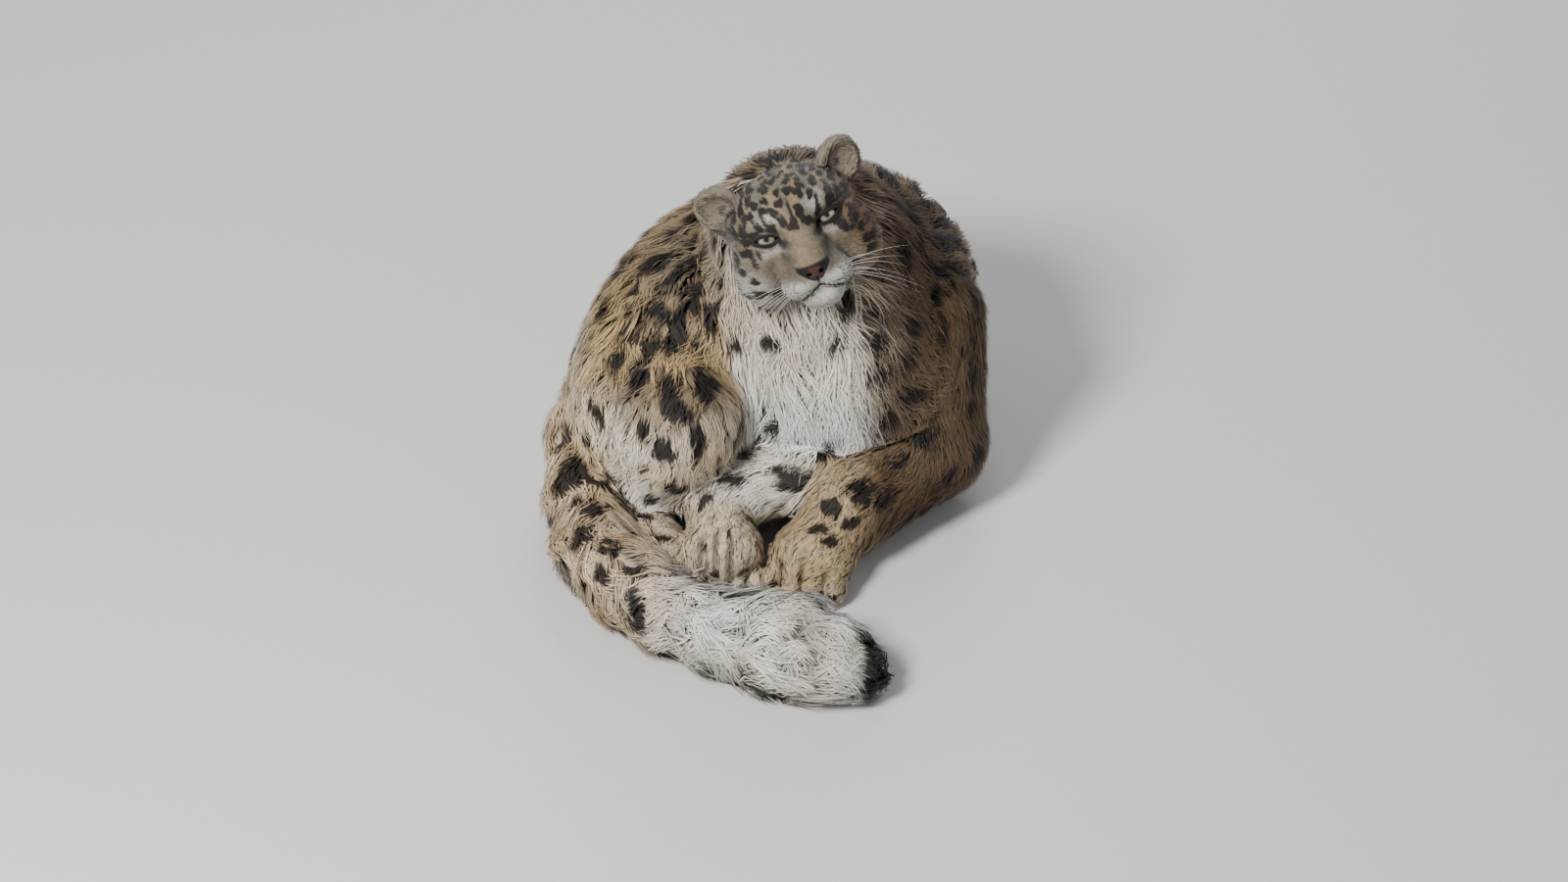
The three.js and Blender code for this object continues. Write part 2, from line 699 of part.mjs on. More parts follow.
const tailField = chainField(TAIL_LINE, 15);
const tailDirection = directionAlong(TAIL_LINE);

function tailPart(name) {
  const [first, last] = TAIL_PARTS[name];
  const steps = last - first;
  const ends = [first > 0, last < TAIL_LINE.length - 1];
  const cuts = [];
  if (ends[0]) cuts.push(turned(crossPlane(TAIL_LINE, first)));
  if (ends[1]) cuts.push(crossPlane(TAIL_LINE, last));
  const caps = { first: ends[0] ? 0.1 : 0.25, last: ends[1] ? 0.1 : 0.3 };
  const counts = { rings: 3 + 2 * steps, sides: 9, ...caps };
  const coat = { ...COATS.tail, rows: COATS.tail.rows * steps };
  return furredPart(tailField, TAIL_LINE.slice(first, last + 1), { counts, coat, flow: tailDirection, cuts, caps });
}

function thighFlow() {
  return new THREE.Vector3(-0.3, -0.25, -0.9).normalize();
}

function neckFlow() {
  return new THREE.Vector3(0.2, 0.1, -1).normalize();
}

function outOfBody(p) {
  return bodyField(p.x, p.y, p.z) > -COATS.body.depth / 2 - 6;
}

function thighPart() {
  const counts = { rings: 9, sides: 13 };
  return furredPart(chainField(THIGH_RIGHT, 20), THIGH_RIGHT, { counts, coat: COATS.thigh, flow: thighFlow, keep: outOfBody });
}

function neckPart() {
  const caps = { first: 0.3, last: 0.14 };
  const counts = { rings: 9, sides: 14, ...caps };
  return furredPart(trunkField, NECK_LINE, { counts, coat: COATS.neck, flow: neckFlow, cuts: [turned(NECK_CUT)], caps });
}

// Each node in the order that decides who gives way: a later one is cut back from every earlier one.
const PARTS = [
  ["eye_left", COLOURS.eye, (grow) => eyeSolid(1, grow)],
  ["eye_right", COLOURS.eye, (grow) => eyeSolid(-1, grow)],
  ["head", COLOURS.coat, headSolid],
  ["ear_left", COLOURS.coat, (grow) => earSolid(1, grow)],
  ["ear_right", COLOURS.coat, (grow) => earSolid(-1, grow)],
  ...Object.values(LEGS).flatMap(legParts),
  ["thigh_right", COLOURS.coat, thighPart()],
  ["neck", COLOURS.pale, neckPart()],
  ["chest", COLOURS.pale, trunkPart("chest", [CHEST_CUT])],
  ["loins", COLOURS.coat, trunkPart("loins", [turned(CHEST_CUT), RUMP_CUT])],
  ["rump", COLOURS.coat, trunkPart("rump", [turned(CHEST_CUT), turned(RUMP_CUT)])],
  ...Object.keys(TAIL_PARTS).reverse().map((name) => [name, COLOURS.coat, tailPart(name)]),
];

function boxesMeet(a, b) {
  const [p, q] = [a.boundingBox(), b.boundingBox()];
  return [0, 1, 2].every((k) => p.min[k] < q.max[k] && q.min[k] < p.max[k]);
}

function buildAnimal() {
  const animal = new THREE.Group();
  const earlier = [];
  for (const [name, colour, make] of PARTS) {
    let solid = make(0).trimByPlane([0, 0, 1], FLOOR);
    for (const clear of earlier) {
      if (boxesMeet(solid, clear)) solid = solid.subtract(clear);
    }
    earlier.push(make(GAP));
    solid = largest(solid);
    const material = new THREE.MeshStandardMaterial({ color: colour, roughness: 0.9, metalness: 0 });
    const mesh = new THREE.Mesh(toGeometry(solid), material);
    mesh.name = name;
    animal.add(mesh);
  }
  return animal;
}

// The origin is on the floor, in the middle of the animal's own box.
const animal = buildAnimal();
const box = new THREE.Box3().setFromObject(animal);
const middle = box.getCenter(new THREE.Vector3());
animal.position.set(-middle.x, -middle.y, -FLOOR);

export default animal;
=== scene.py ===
"""A snow leopard lying curled on a plain floor, as a life-size still model with its full winter coat.

The forms repeat the solids' own named sizes, in millimetres, and are turned to metres where a mesh is made.
One skin replaces the parts of flesh, and a coat of solid tufts grows from it along the lie of the fur.
"""

from __future__ import annotations

import logging
import math
from dataclasses import dataclass, field
from enum import Enum
from typing import Callable, Sequence

import bpy
import numpy as np
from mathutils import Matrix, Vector
from mathutils.bvhtree import BVHTree

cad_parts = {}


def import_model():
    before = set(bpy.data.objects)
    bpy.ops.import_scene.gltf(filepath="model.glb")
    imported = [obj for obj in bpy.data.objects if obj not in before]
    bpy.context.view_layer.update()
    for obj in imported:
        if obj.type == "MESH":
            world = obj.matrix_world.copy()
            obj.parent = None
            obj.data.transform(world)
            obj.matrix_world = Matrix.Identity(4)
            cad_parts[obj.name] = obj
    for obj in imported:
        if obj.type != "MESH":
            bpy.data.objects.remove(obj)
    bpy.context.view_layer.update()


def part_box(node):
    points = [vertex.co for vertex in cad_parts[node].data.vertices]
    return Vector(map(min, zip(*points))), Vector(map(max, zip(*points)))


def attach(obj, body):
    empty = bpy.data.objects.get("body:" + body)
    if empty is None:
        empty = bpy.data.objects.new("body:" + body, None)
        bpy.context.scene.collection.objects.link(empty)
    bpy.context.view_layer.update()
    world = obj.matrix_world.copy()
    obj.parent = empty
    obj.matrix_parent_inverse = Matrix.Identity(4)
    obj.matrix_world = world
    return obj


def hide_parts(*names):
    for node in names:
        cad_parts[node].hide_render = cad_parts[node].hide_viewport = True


LOG = logging.getLogger("snow_leopard")
MM = 0.001
FLOOR_CLEARANCE = 0.6
UNWRAP_PATCH = 0.003
TRIANGLE_LIMIT = 190_000

Array = np.ndarray
Field = Callable[[Array], Array]
Station = tuple[float, float, float, float]


class Region(Enum):
    """The parts of the coat, each with its own length and lie."""

    TRUNK = 0
    NECK = 1
    HAUNCH = 2
    TAIL = 3
    LIMB = 4
    FOOT = 5
    HEAD = 6
    EAR = 7


# Fields: the distance in millimetres from points to a form's outline, negative inside.


def smooth_min(a: Array, b: Array, softness: float) -> Array:
    """Join two fields with a soft fillet.

    Args:
        a: Distances to the first form.
        b: Distances to the second form.
        softness: Width of the fillet in millimetres.

    Returns:
        Distances to the joined form.
    """
    share = np.maximum(softness - np.abs(a - b), 0) / softness
    return np.minimum(a, b) - share * share * softness / 4


def limb(a: Station, b: Station, stretch: float = 1.0) -> Field:
    """Make the field of a rounded limb between two stations.

    Args:
        a: First station, as x, y, z and radius.
        b: Second station.
        stretch: How much taller than wide its section is.

    Returns:
        The limb's field.
    """
    start = np.array(a[:3], np.float32)
    way = np.array(b[:3], np.float32) - start
    scale = np.array([1, 1, 1 / stretch], np.float32)
    way = way * scale
    length2 = float(way @ way)

    def distance(points: Array) -> Array:
        """Give the distance of points from the limb."""
        offset = (points - start) * scale
        t = np.clip(offset @ way / length2, 0, 1)
        gap = offset - t[..., None] * way
        return np.sqrt((gap * gap).sum(-1)) - (a[3] + t * (b[3] - a[3]))

    return distance


def ball(centre: Sequence[float], half: Sequence[float]) -> Field:
    """Make the field of an ellipsoid.

    Args:
        centre: Its middle.
        half: Its three half sizes.

    Returns:
        The ellipsoid's field.
    """
    middle = np.array(centre, np.float32)
    size = np.array(half, np.float32)

    def distance(points: Array) -> Array:
        """Give the distance of points from the ellipsoid."""
        offset = points - middle
        near = np.sqrt(((offset / size) ** 2).sum(-1))
        steep = np.sqrt(((offset / size**2) ** 2).sum(-1)) + 1e-9
        return near * (near - 1) / steep

    return distance


def blend_all(fields: Sequence[Field], softness: float) -> Field:
    """Join several fields softly.

    Args:
        fields: The forms.
        softness: Width of each fillet in millimetres.

    Returns:
        The joined field.
    """

    def distance(points: Array) -> Array:
        """Give the distance of points from the joined forms."""
        total = fields[0](points)
        for other in fields[1:]:
            total = smooth_min(total, other(points), softness)
        return total

    return distance


def chain(stations: Sequence[Station], softness: float, stretch: float = 1.0) -> Field:
    """Make the field of a line of limbs through stations."""
    return blend_all([limb(a, b, stretch) for a, b in zip(stations, stations[1:])], softness)


def slope(form: Field, points: Array, step: float = 0.6) -> Array:
    """Give a field's unit slope at points.

    Args:
        form: The field.
        points: Where it is wanted.
        step: Half the distance between samples, in millimetres.

    Returns:
        One unit vector for each point.
    """
    rise = np.empty_like(points)
    for axis in range(3):
        shift = np.zeros(3, np.float32)
        shift[axis] = step
        rise[:, axis] = form(points + shift) - form(points - shift)
    return unit(rise)


def unit(vectors: Array) -> Array:
    """Scale vectors to length one."""
    return vectors / (np.sqrt((vectors * vectors).sum(-1, keepdims=True)) + 1e-9)


def smooth_step(low: float, high: float, value: Array) -> Array:
    """Rise smoothly from 0 at low to 1 at high."""
    t = np.clip((value - low) / (high - low), 0, 1)
    return t * t * (3 - 2 * t)


def ridge(value: Array, width: float) -> Array:
    """Give a soft line of one width where a value is near zero."""
    return np.exp(-((value / width) ** 2))


def blot(first: Array, second: Array, wide: float, high: float) -> Array:
    """Give a soft oval patch where two values are near zero."""
    return np.exp(-((first / wide) ** 2 + (second / high) ** 2))


def blend(tone: Array, colour: Sequence[float] | Array, share: Array) -> Array:
    """Mix a colour into tones, by a share for each point."""
    part = share[:, None].astype(np.float32)
    return tone * (1 - part) + np.asarray(colour, np.float32) * part


@dataclass(frozen=True)
class Axes:
    """A place with its own forward, up and left directions."""

    origin: Array
    rows: Array

    def local(self, points: Array) -> Array:
        """Give points as forward, up and left."""
        return (points - self.origin) @ self.rows.T

    def point(self, place: Sequence[float]) -> Array:
        """Give the model's point for a forward, up and left place."""
        return self.origin + np.array(place, np.float32) @ self.rows

    def direction(self, way: Sequence[float]) -> Array:
        """Give the model's direction for a forward, up and left one."""
        return unit(np.array(way, np.float32) @ self.rows)


@dataclass(frozen=True)
class Foot:
    """A foot: its middle, the way its toes point and its half sizes."""

    at: tuple[float, float, float]
    toes: tuple[float, float]
    half: tuple[float, float, float]
    toe_count: int = 4

    def axes(self) -> Axes:
        """Give the foot's own directions."""
        way = unit(np.array([*self.toes, 0.0], np.float32))
        up = np.array([0, 0, 1], np.float32)
        side = np.array([-way[1], way[0], 0], np.float32)
        return Axes(np.array(self.at, np.float32), np.stack([way, up, side]))

    def form(self, wrist: Station) -> Field:
        """Make the foot's field.

        Args:
            wrist: The leg's last station.

        Returns:
            The field of the pad, its toes and its root.
        """
        wide, long, high = self.half
        forms = [ball((0, 0, 0), (long * 0.94, high, wide))]
        for toe in range(self.toe_count):
            across = ((toe + 0.5) / self.toe_count - 0.5) * 2
            out = long * (0.66 - 0.26 * across * across)
            half = (long * 0.44, high * 0.64, wide * 0.27)
            forms.append(ball((out, -self.at[2] + high * 0.6, across * wide * 0.95), half))
        pad = blend_all(forms, 5)
        root = limb(wrist, (self.at[0], self.at[1], self.at[2] + 4, high * 0.9))
        axes = self.axes()
        return lambda points: smooth_min(pad(axes.local(points)), root(points), 16)

    def groove(self, points: Array) -> Array:
        """Give how much points lie in the grooves between the toes, which are darkened there as painted
        shade.
        """
        wide, long, _ = self.half
        local = self.axes().local(points)
        share = local[:, 2] / (wide * 0.475)
        between = np.abs(share - np.round(share)) * wide * 0.475
        inner = np.abs(np.round(share)) < self.toe_count / 2
        ahead = smooth_step(0.5, 0.72, local[:, 0] / long) * (np.abs(local[:, 0]) < long * 1.6)
        return inner * ahead * (1 - smooth_step(1.5, 6.0, between)) * (np.abs(local[:, 2]) < wide)


@dataclass(frozen=True)
class Leg:
    """A leg: its stations from the top, and its foot."""

    stations: tuple[Station, ...]
    foot: Foot


@dataclass(frozen=True)
class Form:
    """One form of the body: its field, part of the coat, the skin's depth in it and how softly it joins."""

    outline: Field
    region: Region
    depth: float
    softness: float
    low: Array
    high: Array

    def inner(self, points: Array) -> Array:
        """Give the distance of points from the skin inside this form."""
        return self.outline(points) + self.depth


@dataclass
class Head:
    """The head in its own frame, whose origin is midway between the eyes. Places are forward, up and left."""

    at: tuple[float, float, float] = (44, 311, 450)
    turn: float = 6.2
    lift: float = 24
    tilt: float = 19.2
    eye: tuple[float, float, float] = (-10, 0, 38)
    eye_radius: float = 17.0
    opening: tuple[float, float, float] = (15.5, 3.6, 4.6)
    opening_tilt: float = 0.2
    ear_at: tuple[float, float, float] = (-76, 36, 74)
    ear_half: tuple[float, float, float] = (17, 31, 26)
    ear_wall: float = 4
    ear_lean: float = 35
    mouth_reach: float = 46
    mouth_middle: float = -59
    mouth_corner: float = -72
    nose_at: tuple[float, float, float] = (63, -36, 0)
    depth: float = 2.5
    axes: Axes = field(init=False)

    def __post_init__(self) -> None:
        """Work out the head's directions."""
        turn, lift, tilt = (math.radians(v) for v in (self.turn, self.lift, self.tilt))
        level_part = math.cos(lift)
        forward = np.array([math.sin(turn) * level_part, -math.cos(turn) * level_part, math.sin(lift)])
        level = np.array([math.cos(turn), math.sin(turn), 0])
        upright = np.cross(forward, level)
        left = level * math.cos(tilt) + upright * math.sin(tilt)
        up = upright * math.cos(tilt) - level * math.sin(tilt)
        self.axes = Axes(np.array(self.at, np.float32), np.stack([forward, up, left]).astype(np.float32))

    def skull(self) -> Field:
        """Make the field of the head's outline, in its own frame."""
        sided = [
            ((-8, 20, 34), (20, 12, 25)),
            ((-22, -20, 48), (40, 30, 31)),
            ((35, -54, 21), (27, 20, 24)),
            ((-32, -46, 50), (42, 36, 35)),
        ]
        forms = [
            ball((-62, 4, 0), (84, 52, 74)),
            ball((-20, 24, 0), (38, 28, 44)),
            ball((4, -40, 0), (42, 34, 40)),
            ball((53, -38, 0), (13, 13, 20)),
            ball((28, -78, 0), (25, 15, 26)),
            limb((0, 6, 0, 26), (46, -31, 0, 22)),
            limb((-44, -48, 0, 42), (14, -71, 0, 26)),
        ]
        for centre, half in sided:
            for side in (1, -1):
                forms.append(ball((centre[0], centre[1], centre[2] * side), half))
        return blend_all(forms, 12)

    def eye_local(self, local: Array, side: int) -> Array:
        """Give head-frame points as forward, up and outward from an eye, turned with its opening."""
        offset = local - np.array([self.eye[0], self.eye[1], self.eye[2] * side], np.float32)
        out = offset[..., 2] * side
        up = offset[..., 1] - offset[..., 0] * 0.12
        slant = self.opening_tilt
        return np.stack([offset[..., 0], up - out * slant, out], -1)

    def opening_gap(self, eye_points: Array) -> Array:
        """Give how far points are outside the almond between the lids, negative in it."""
        wide, above, below = self.opening
        across = eye_points[..., 2] / wide
        bow = 1 - across * across
        return np.maximum(eye_points[..., 1] - above * bow, -below * bow - eye_points[..., 1])

    def mouth_gap(self, local: Array) -> Array:
        """Give the height of points over the line between the lips."""
        share = np.abs(local[..., 2]) / self.mouth_reach
        drop = np.minimum(1, share * 1.6)
        line = self.mouth_middle + (self.mouth_corner - self.mouth_middle) * drop
        line = line + 5 * np.maximum(0, share - 0.6)
        return local[..., 1] - line

    def ear_axes(self, side: int) -> Axes:
        """Give an ear's own directions in the head's frame: out of its cup, up and across."""
        lean = math.radians(self.ear_lean)
        up = unit(np.array([-0.1, math.cos(lean), math.sin(lean) * side], np.float32))
        facing = np.array([0.9, 0.05, 0.42 * side], np.float32)
        across = unit(np.cross(up, facing))
        out = unit(np.cross(across, up))
        centre = np.array([self.ear_at[0], self.ear_at[1], self.ear_at[2] * side], np.float32)
        return Axes(centre, np.stack([out, up, across]))

    def ear(self, side: int) -> Field:
        """Make an ear's field, in the head's frame."""
        axes = self.ear_axes(side)
        outer = ball((0, 0, 0), [half - 1 for half in self.ear_half])
        inner = ball((self.ear_half[0] * 0.75, 0, 0), [half - self.ear_wall - 1 for half in self.ear_half])

        def distance(points: Array) -> Array:
            """Give the distance of points from the ear's shell."""
            local = axes.local(points)
            return np.maximum(outer(local), -inner(local))

        return distance

    def skin(self) -> Field:
        """Make the field of the head's skin with its lids, lips and nostrils, in the model's frame."""
        skull = self.skull()
        hollows = [ball((14, 0, 38 * side), (15, 9, 17)) for side in (1, -1)]
        nostrils = []
        for side in (1, -1):
            nostrils.append(limb((55, -41, 6.5 * side, 3.4), (67, -43, 7.5 * side, 3.2)))
            nostrils.append(limb((67, -43, 8 * side, 2.8), (62, -40, 18 * side, 1.5)))

        def distance(points: Array) -> Array:
            """Give the distance of points from the head's skin."""
            local = self.axes.local(points)
            body = skull(local) + self.depth
            for side, hollow in zip((1, -1), hollows):
                body = -smooth_min(-body, hollow(local), 9)
                eye = self.eye_local(local, side)
                away = np.sqrt((eye * eye).sum(-1))
                body = smooth_min(body, away - self.eye_radius - 2.6, 5)
                almond = np.maximum(self.opening_gap(eye), away - self.eye_radius - 9)
                almond = np.where(eye[..., 0] > 0, almond, 9)
                body = np.maximum(body, -almond)
                body = np.maximum(body, self.eye_radius + 0.4 - away)
            lips = np.maximum(np.abs(self.mouth_gap(local)) - 1.1, -(skull(local) + 7))
            lips = np.where(local[..., 0] > -4, lips, 9)
            body = -smooth_min(-body, lips, 2)
            cleft = np.maximum(np.abs(local[..., 2]) - 0.9, -(skull(local) + 5))
            in_cleft = (local[..., 1] > self.mouth_middle - 1) & (local[..., 1] < -46) & (local[..., 0] > 30)
            body = np.where(in_cleft, -smooth_min(-body, cleft, 2), body)
            for nostril in nostrils:
                body = -smooth_min(-body, nostril(local), 2)
            for side in (1, -1):
                body = smooth_min(body, self.ear(side)(local), 6)
            return body

        return distance


@dataclass
class Anatomy:
    """The whole animal's forms. A station is x, y, z and radius in millimetres."""

    body: tuple[Station, ...] = (
        (62, 372, 138, 70),
        (88, 415, 180, 116),
        (104, 457, 165, 155),
        (100, 527, 165, 158),
        (36, 545, 160, 150),
        (-40, 497, 155, 140),
        (-88, 432, 150, 129),
        (-118, 380, 138, 112),
    )
    neck: tuple[Station, ...] = ((37, 415, 375, 98), (62, 425, 320, 118), (85, 435, 260, 132))
    haunch: tuple[Station, ...] = ((-112, 400, 165, 104), (-98, 304, 170, 79))
    tail: tuple[Station, ...] = (
        (-160, 440, 135, 62),
        (-198, 378, 90, 56),
        (-202, 300, 60, 54),
        (-190, 215, 54, 53),
        (-156, 146, 52, 52),
        (-104, 94, 48, 48),
        (-38, 58, 50, 50),
        (35, 24, 58, 59),
        (92, 10, 46, 44),
        (128, 6, 34, 24),
    )
    legs: tuple[Leg, ...] = (
        Leg(
            ((185, 440, 215, 80), (203, 382, 80, 60), (98, 268, 62, 51)),
            Foot((62, 212, 40), (-0.3, -0.95), (52, 50, 39)),
        ),
        Leg(
            ((0, 425, 190, 50), (59, 311, 84, 40), (-55, 271, 78, 36)),
            Foot((-42, 214, 50), (0.12, -0.99), (48, 50, 35)),
        ),
        Leg(((-102, 304, 130, 60), (-158, 300, 50, 42)), Foot((-116, 218, 34), (0.08, -1), (40, 60, 33))),
        Leg(((-50, 380, 58, 54), (-36, 312, 34, 32)), Foot((-48, 240, 14), (-0.05, -1), (34, 56, 14))),
    )
    head: Head = field(default_factory=Head)
    body_stretch: float = 1.15
    forms: list[Form] = field(init=False)

    def __post_init__(self) -> None:
        """Make the fields from the stations."""
        body = chain(self.body, 32, self.body_stretch)
        neck = chain(self.neck, 30)
        self.forms = [
            self._form(body, self.body, Region.TRUNK, 16, 1),
            self._form(neck, self.neck, Region.NECK, 15, 36),
            self._form(chain(self.haunch, 20), self.haunch, Region.HAUNCH, 12, 10),
            self._form(chain(self.tail, 15), self.tail, Region.TAIL, 14, 16),
        ]
        for leg in self.legs:
            self.forms.append(self._form(chain(leg.stations, 20), leg.stations, Region.LIMB, 5, 12))
            foot = leg.foot.form(leg.stations[-1])
            reach = (*leg.foot.at, max(leg.foot.half) * 1.3)
            self.forms.append(self._form(foot, (leg.stations[-1], reach), Region.FOOT, 3.5, 8))

    @staticmethod
    def _form(
        outline: Field, stations: Sequence[Station], region: Region, depth: float, softness: float
    ) -> Form:
        """Make a form with the box that its stations fill."""
        places = np.array(stations, np.float32)
        reach = places[:, 3:] * 1.2 + 24
        low = (places[:, :3] - reach).min(0)
        high = (places[:, :3] + reach).max(0)
        return Form(outline, region, depth, softness, low, high)

    def skin(self, points: Array) -> Array:
        """Give the distance of points from the body's skin, without the head."""
        total = self.forms[0].inner(points)
        for form in self.forms[1:]:
            near = np.all((points > form.low) & (points < form.high), -1)
            if near.any():
                total[near] = smooth_min(total[near], form.inner(points[near]), form.softness)
        return np.maximum(total, FLOOR_CLEARANCE - points[..., 2])

    def regions(self, points: Array) -> Array:
        """Give the number of the coat's region that each point lies in."""
        gaps = np.stack([form.inner(points) for form in self.forms])
        numbers = np.array([form.region.value for form in self.forms])
        return numbers[gaps.argmin(0)]


# Meshes.


def ruler(start: float, *runs: tuple[float, float]) -> Array:
    """Make places along a line, from a start through runs that each have an end and a step."""
    places = [np.array([start])]
    for end, step in runs:
        count = max(1, round((end - start) / step))
        places.append(np.linspace(start, end, count + 1)[1:])
        start = end
    return np.concatenate(places).astype(np.float32)


@dataclass
class Shell:
    """A field kept on a grid, so that distances are read quickly."""

    axes: tuple[Array, Array, Array]
    values: Array

    @classmethod
    def from_field(cls, form: Field, axes: tuple[Array, Array, Array]) -> "Shell":
        """Read a field at every place of a grid.

        Args:
            form: The field.
            axes: The grid's places along x, y and z.

        Returns:
            The shell.
        """
        shape = tuple(len(axis) for axis in axes)
        values = np.empty(shape, np.float32)
        for i, x in enumerate(axes[0]):
            sheet = np.empty((shape[1], shape[2], 3), np.float32)
            sheet[..., 0] = x
            sheet[..., 1] = axes[1][:, None]
            sheet[..., 2] = axes[2][None, :]
            values[i] = form(sheet.reshape(-1, 3)).reshape(shape[1:])
        return cls(axes, values)

    def distance(self, points: Array) -> Array:
        """Give the distance of points from the outline, or a large one outside the grid."""
        outside = np.zeros(len(points), bool)
        lows, shares = [], []
        for axis, line in enumerate(self.axes):
            place = points[:, axis]
            outside |= (place < line[0]) | (place > line[-1])
            low = np.clip(np.searchsorted(line, place) - 1, 0, len(line) - 2)
            shares.append(np.clip((place - line[low]) / (line[low + 1] - line[low]), 0, 1))
            lows.append(low)
        total = np.zeros(len(points), np.float32)
        for corner in np.ndindex(2, 2, 2):
            weight = np.ones(len(points), np.float32)
            for bit, share in zip(corner, shares):
                weight *= share if bit else 1 - share
            total += weight * self.values[tuple(low + bit for low, bit in zip(lows, corner))]
        return np.where(outside, 99.0, total)

    def surface(self) -> tuple[Array, Array]:
        """Make a mesh of quads on the outline.

        Returns:
            The points and the quads.
        """
        inside = self.values < 0
        shape = inside.shape
        count = sum(
            inside[i : shape[0] - 1 + i, j : shape[1] - 1 + j, k : shape[2] - 1 + k].astype(np.int8)
            for i, j, k in np.ndindex(2, 2, 2)
        )
        active = (count > 0) & (count < 8)
        numbers = np.full(active.shape, -1, np.int64)
        cells = np.argwhere(active)
        numbers[active] = np.arange(len(cells))
        return self._middles(cells), self._quads(inside, numbers)

    def _middles(self, cells: Array) -> Array:
        """Give each cell's point, the mean of where the outline crosses its edges."""
        total = np.zeros((len(cells), 3), np.float32)
        crossings = np.zeros(len(cells), np.float32)
        for axis in range(3):
            for a, b in np.ndindex(2, 2):
                first = np.zeros(3, np.int64)
                first[[(axis + 1) % 3, (axis + 2) % 3]] = a, b
                second = first.copy()
                second[axis] = 1
                v0 = self.values[tuple((cells + first).T)]
                v1 = self.values[tuple((cells + second).T)]
                crossed = (v0 < 0) != (v1 < 0)
                t = np.where(crossed, v0 / np.where(crossed, v0 - v1, 1), 0)
                total += np.where(crossed[:, None], first + t[:, None] * (second - first), 0)
                crossings += crossed
        share = total / crossings[:, None]
        points = np.empty((len(cells), 3), np.float32)
        for axis, line in enumerate(self.axes):
            low = line[cells[:, axis]]
            points[:, axis] = low + share[:, axis] * (line[cells[:, axis] + 1] - low)
        return points

    @staticmethod
    def _quads(inside: Array, numbers: Array) -> Array:
        """Join the cells' points round each grid edge that crosses the outline."""
        shape = inside.shape
        quads = []
        for axis in range(3):
            u, v = (axis + 1) % 3, (axis + 2) % 3
            near = np.take(inside, range(shape[axis] - 1), axis)
            far = np.take(inside, range(1, shape[axis]), axis)
            edges = np.argwhere(near != far)
            edges = edges[(edges[:, u] > 0) & (edges[:, v] > 0)]
            edges = edges[(edges[:, u] < shape[u] - 1) & (edges[:, v] < shape[v] - 1)]
            corners = []
            for du, dv in ((-1, -1), (0, -1), (0, 0), (-1, 0)):
                cell = edges.copy()
                cell[:, u] += du
                cell[:, v] += dv
                corners.append(numbers[tuple(cell.T)])
            quad = np.stack(corners, 1)
            quads.append(np.where(inside[tuple(edges.T)][:, None], quad, quad[:, ::-1]))
        return np.concatenate(quads)


def settle(form: Field, points: Array, rounds: int = 2) -> Array:
    """Move points onto a field's outline along its slope."""
    moved = points.copy()
    for _ in range(rounds):
        gap = np.clip(form(moved), -3, 3)
        moved -= slope(form, moved) * gap[:, None]
    return moved


def make_mesh(
    name: str, points: Array, faces: Array, material: bpy.types.Material, normals: Array | None = None
) -> bpy.types.Object:
    """Make a mesh object from arrays.

    Args:
        name: The object's name.
        points: Its points in metres.
        faces: Its faces, all with the same number of corners.
        material: Its material.
        normals: Its points' own normals, where they aren't the faces'.

    Returns:
        The object, linked to the scene.
    """
    mesh = bpy.data.meshes.new(name)
    sides = faces.shape[1]
    mesh.vertices.add(len(points))
    mesh.vertices.foreach_set("co", points.astype(np.float32).ravel())
    mesh.loops.add(faces.size)
    mesh.loops.foreach_set("vertex_index", faces.astype(np.int32).ravel())
    mesh.polygons.add(len(faces))
    mesh.polygons.foreach_set("loop_start", np.arange(0, faces.size, sides, dtype=np.int32))
    mesh.polygons.foreach_set("use_smooth", np.ones(len(faces), bool))
    mesh.update(calc_edges=True)
    if normals is not None:
        mesh.normals_split_custom_set_from_vertices(normals)
    mesh.materials.append(material)
    piece = bpy.data.objects.new(name, mesh)
    bpy.context.collection.objects.link(piece)
    return piece


def add_values(piece: bpy.types.Object, name: str, values: Array) -> None:
    """Store a number or a colour on each point of a mesh."""
    kind = "FLOAT" if values.ndim == 1 else "FLOAT_COLOR"
    layer = piece.data.attributes.new(name, kind, "POINT")
    if values.ndim == 1:
        layer.data.foreach_set("value", values.astype(np.float32))
    else:
        filled = np.ones((len(values), 4), np.float32)
        filled[:, : values.shape[1]] = values
        layer.data.foreach_set("color", filled.ravel())


def add_unwrap(piece: bpy.types.Object, corners: Array) -> None:
    """Store the map named OFBake on a mesh's corners."""
    layer = piece.data.uv_layers.new(name="OFBake")
    layer.data.foreach_set("uv", corners.astype(np.float32).ravel())


def linear(red: int, green: int, blue: int) -> tuple[float, float, float]:
    """Turn a screen colour of 0 to 255 into linear light."""

    def one(value: int) -> float:
        """Turn one channel."""
        share = value / 255
        return share / 12.92 if share <= 0.04045 else ((share + 0.055) / 1.055) ** 2.4

    return one(red), one(green), one(blue)


# The coat's colours, which the markings and the materials share.
GREY_BUFF = linear(118, 107, 91)
CREAM = linear(230, 220, 198)
WHITE = linear(240, 236, 226)
TAN = linear(194, 161, 110)
# A dusky brown for the far side: partly the fur's own browner colour, partly painted shade for the side
# turned from the light.
FAR_BROWN_AND_PAINTED_SHADE = linear(78, 59, 39)
SHOULDER_SMOKE = linear(116, 101, 80)
FACE_GREY = linear(123, 115, 100)
FACE_WHITE = linear(198, 195, 184)
# A darker golden brown for the left cheek and the ruff beside it: partly the fur's own tan, partly painted
# shade for the side turned from the light.
CHEEK_GOLD_AND_SHADE = linear(122, 89, 52)
PAW_BUFF = linear(187, 166, 131)
SPOT_BLACK = linear(26, 21, 18)
ROSETTE_CORE = linear(150, 120, 82)
RUFF_GREY = linear(168, 158, 138)
LEATHER = linear(74, 42, 37)


@dataclass(frozen=True)
class Spot:
    """One dark mark: its middle, its long direction, the skin's normal there, its radius and kind."""

    at: Array
    way: Array
    normal: Array
    radius: float
    long: float
    ring: bool
    phases: Array


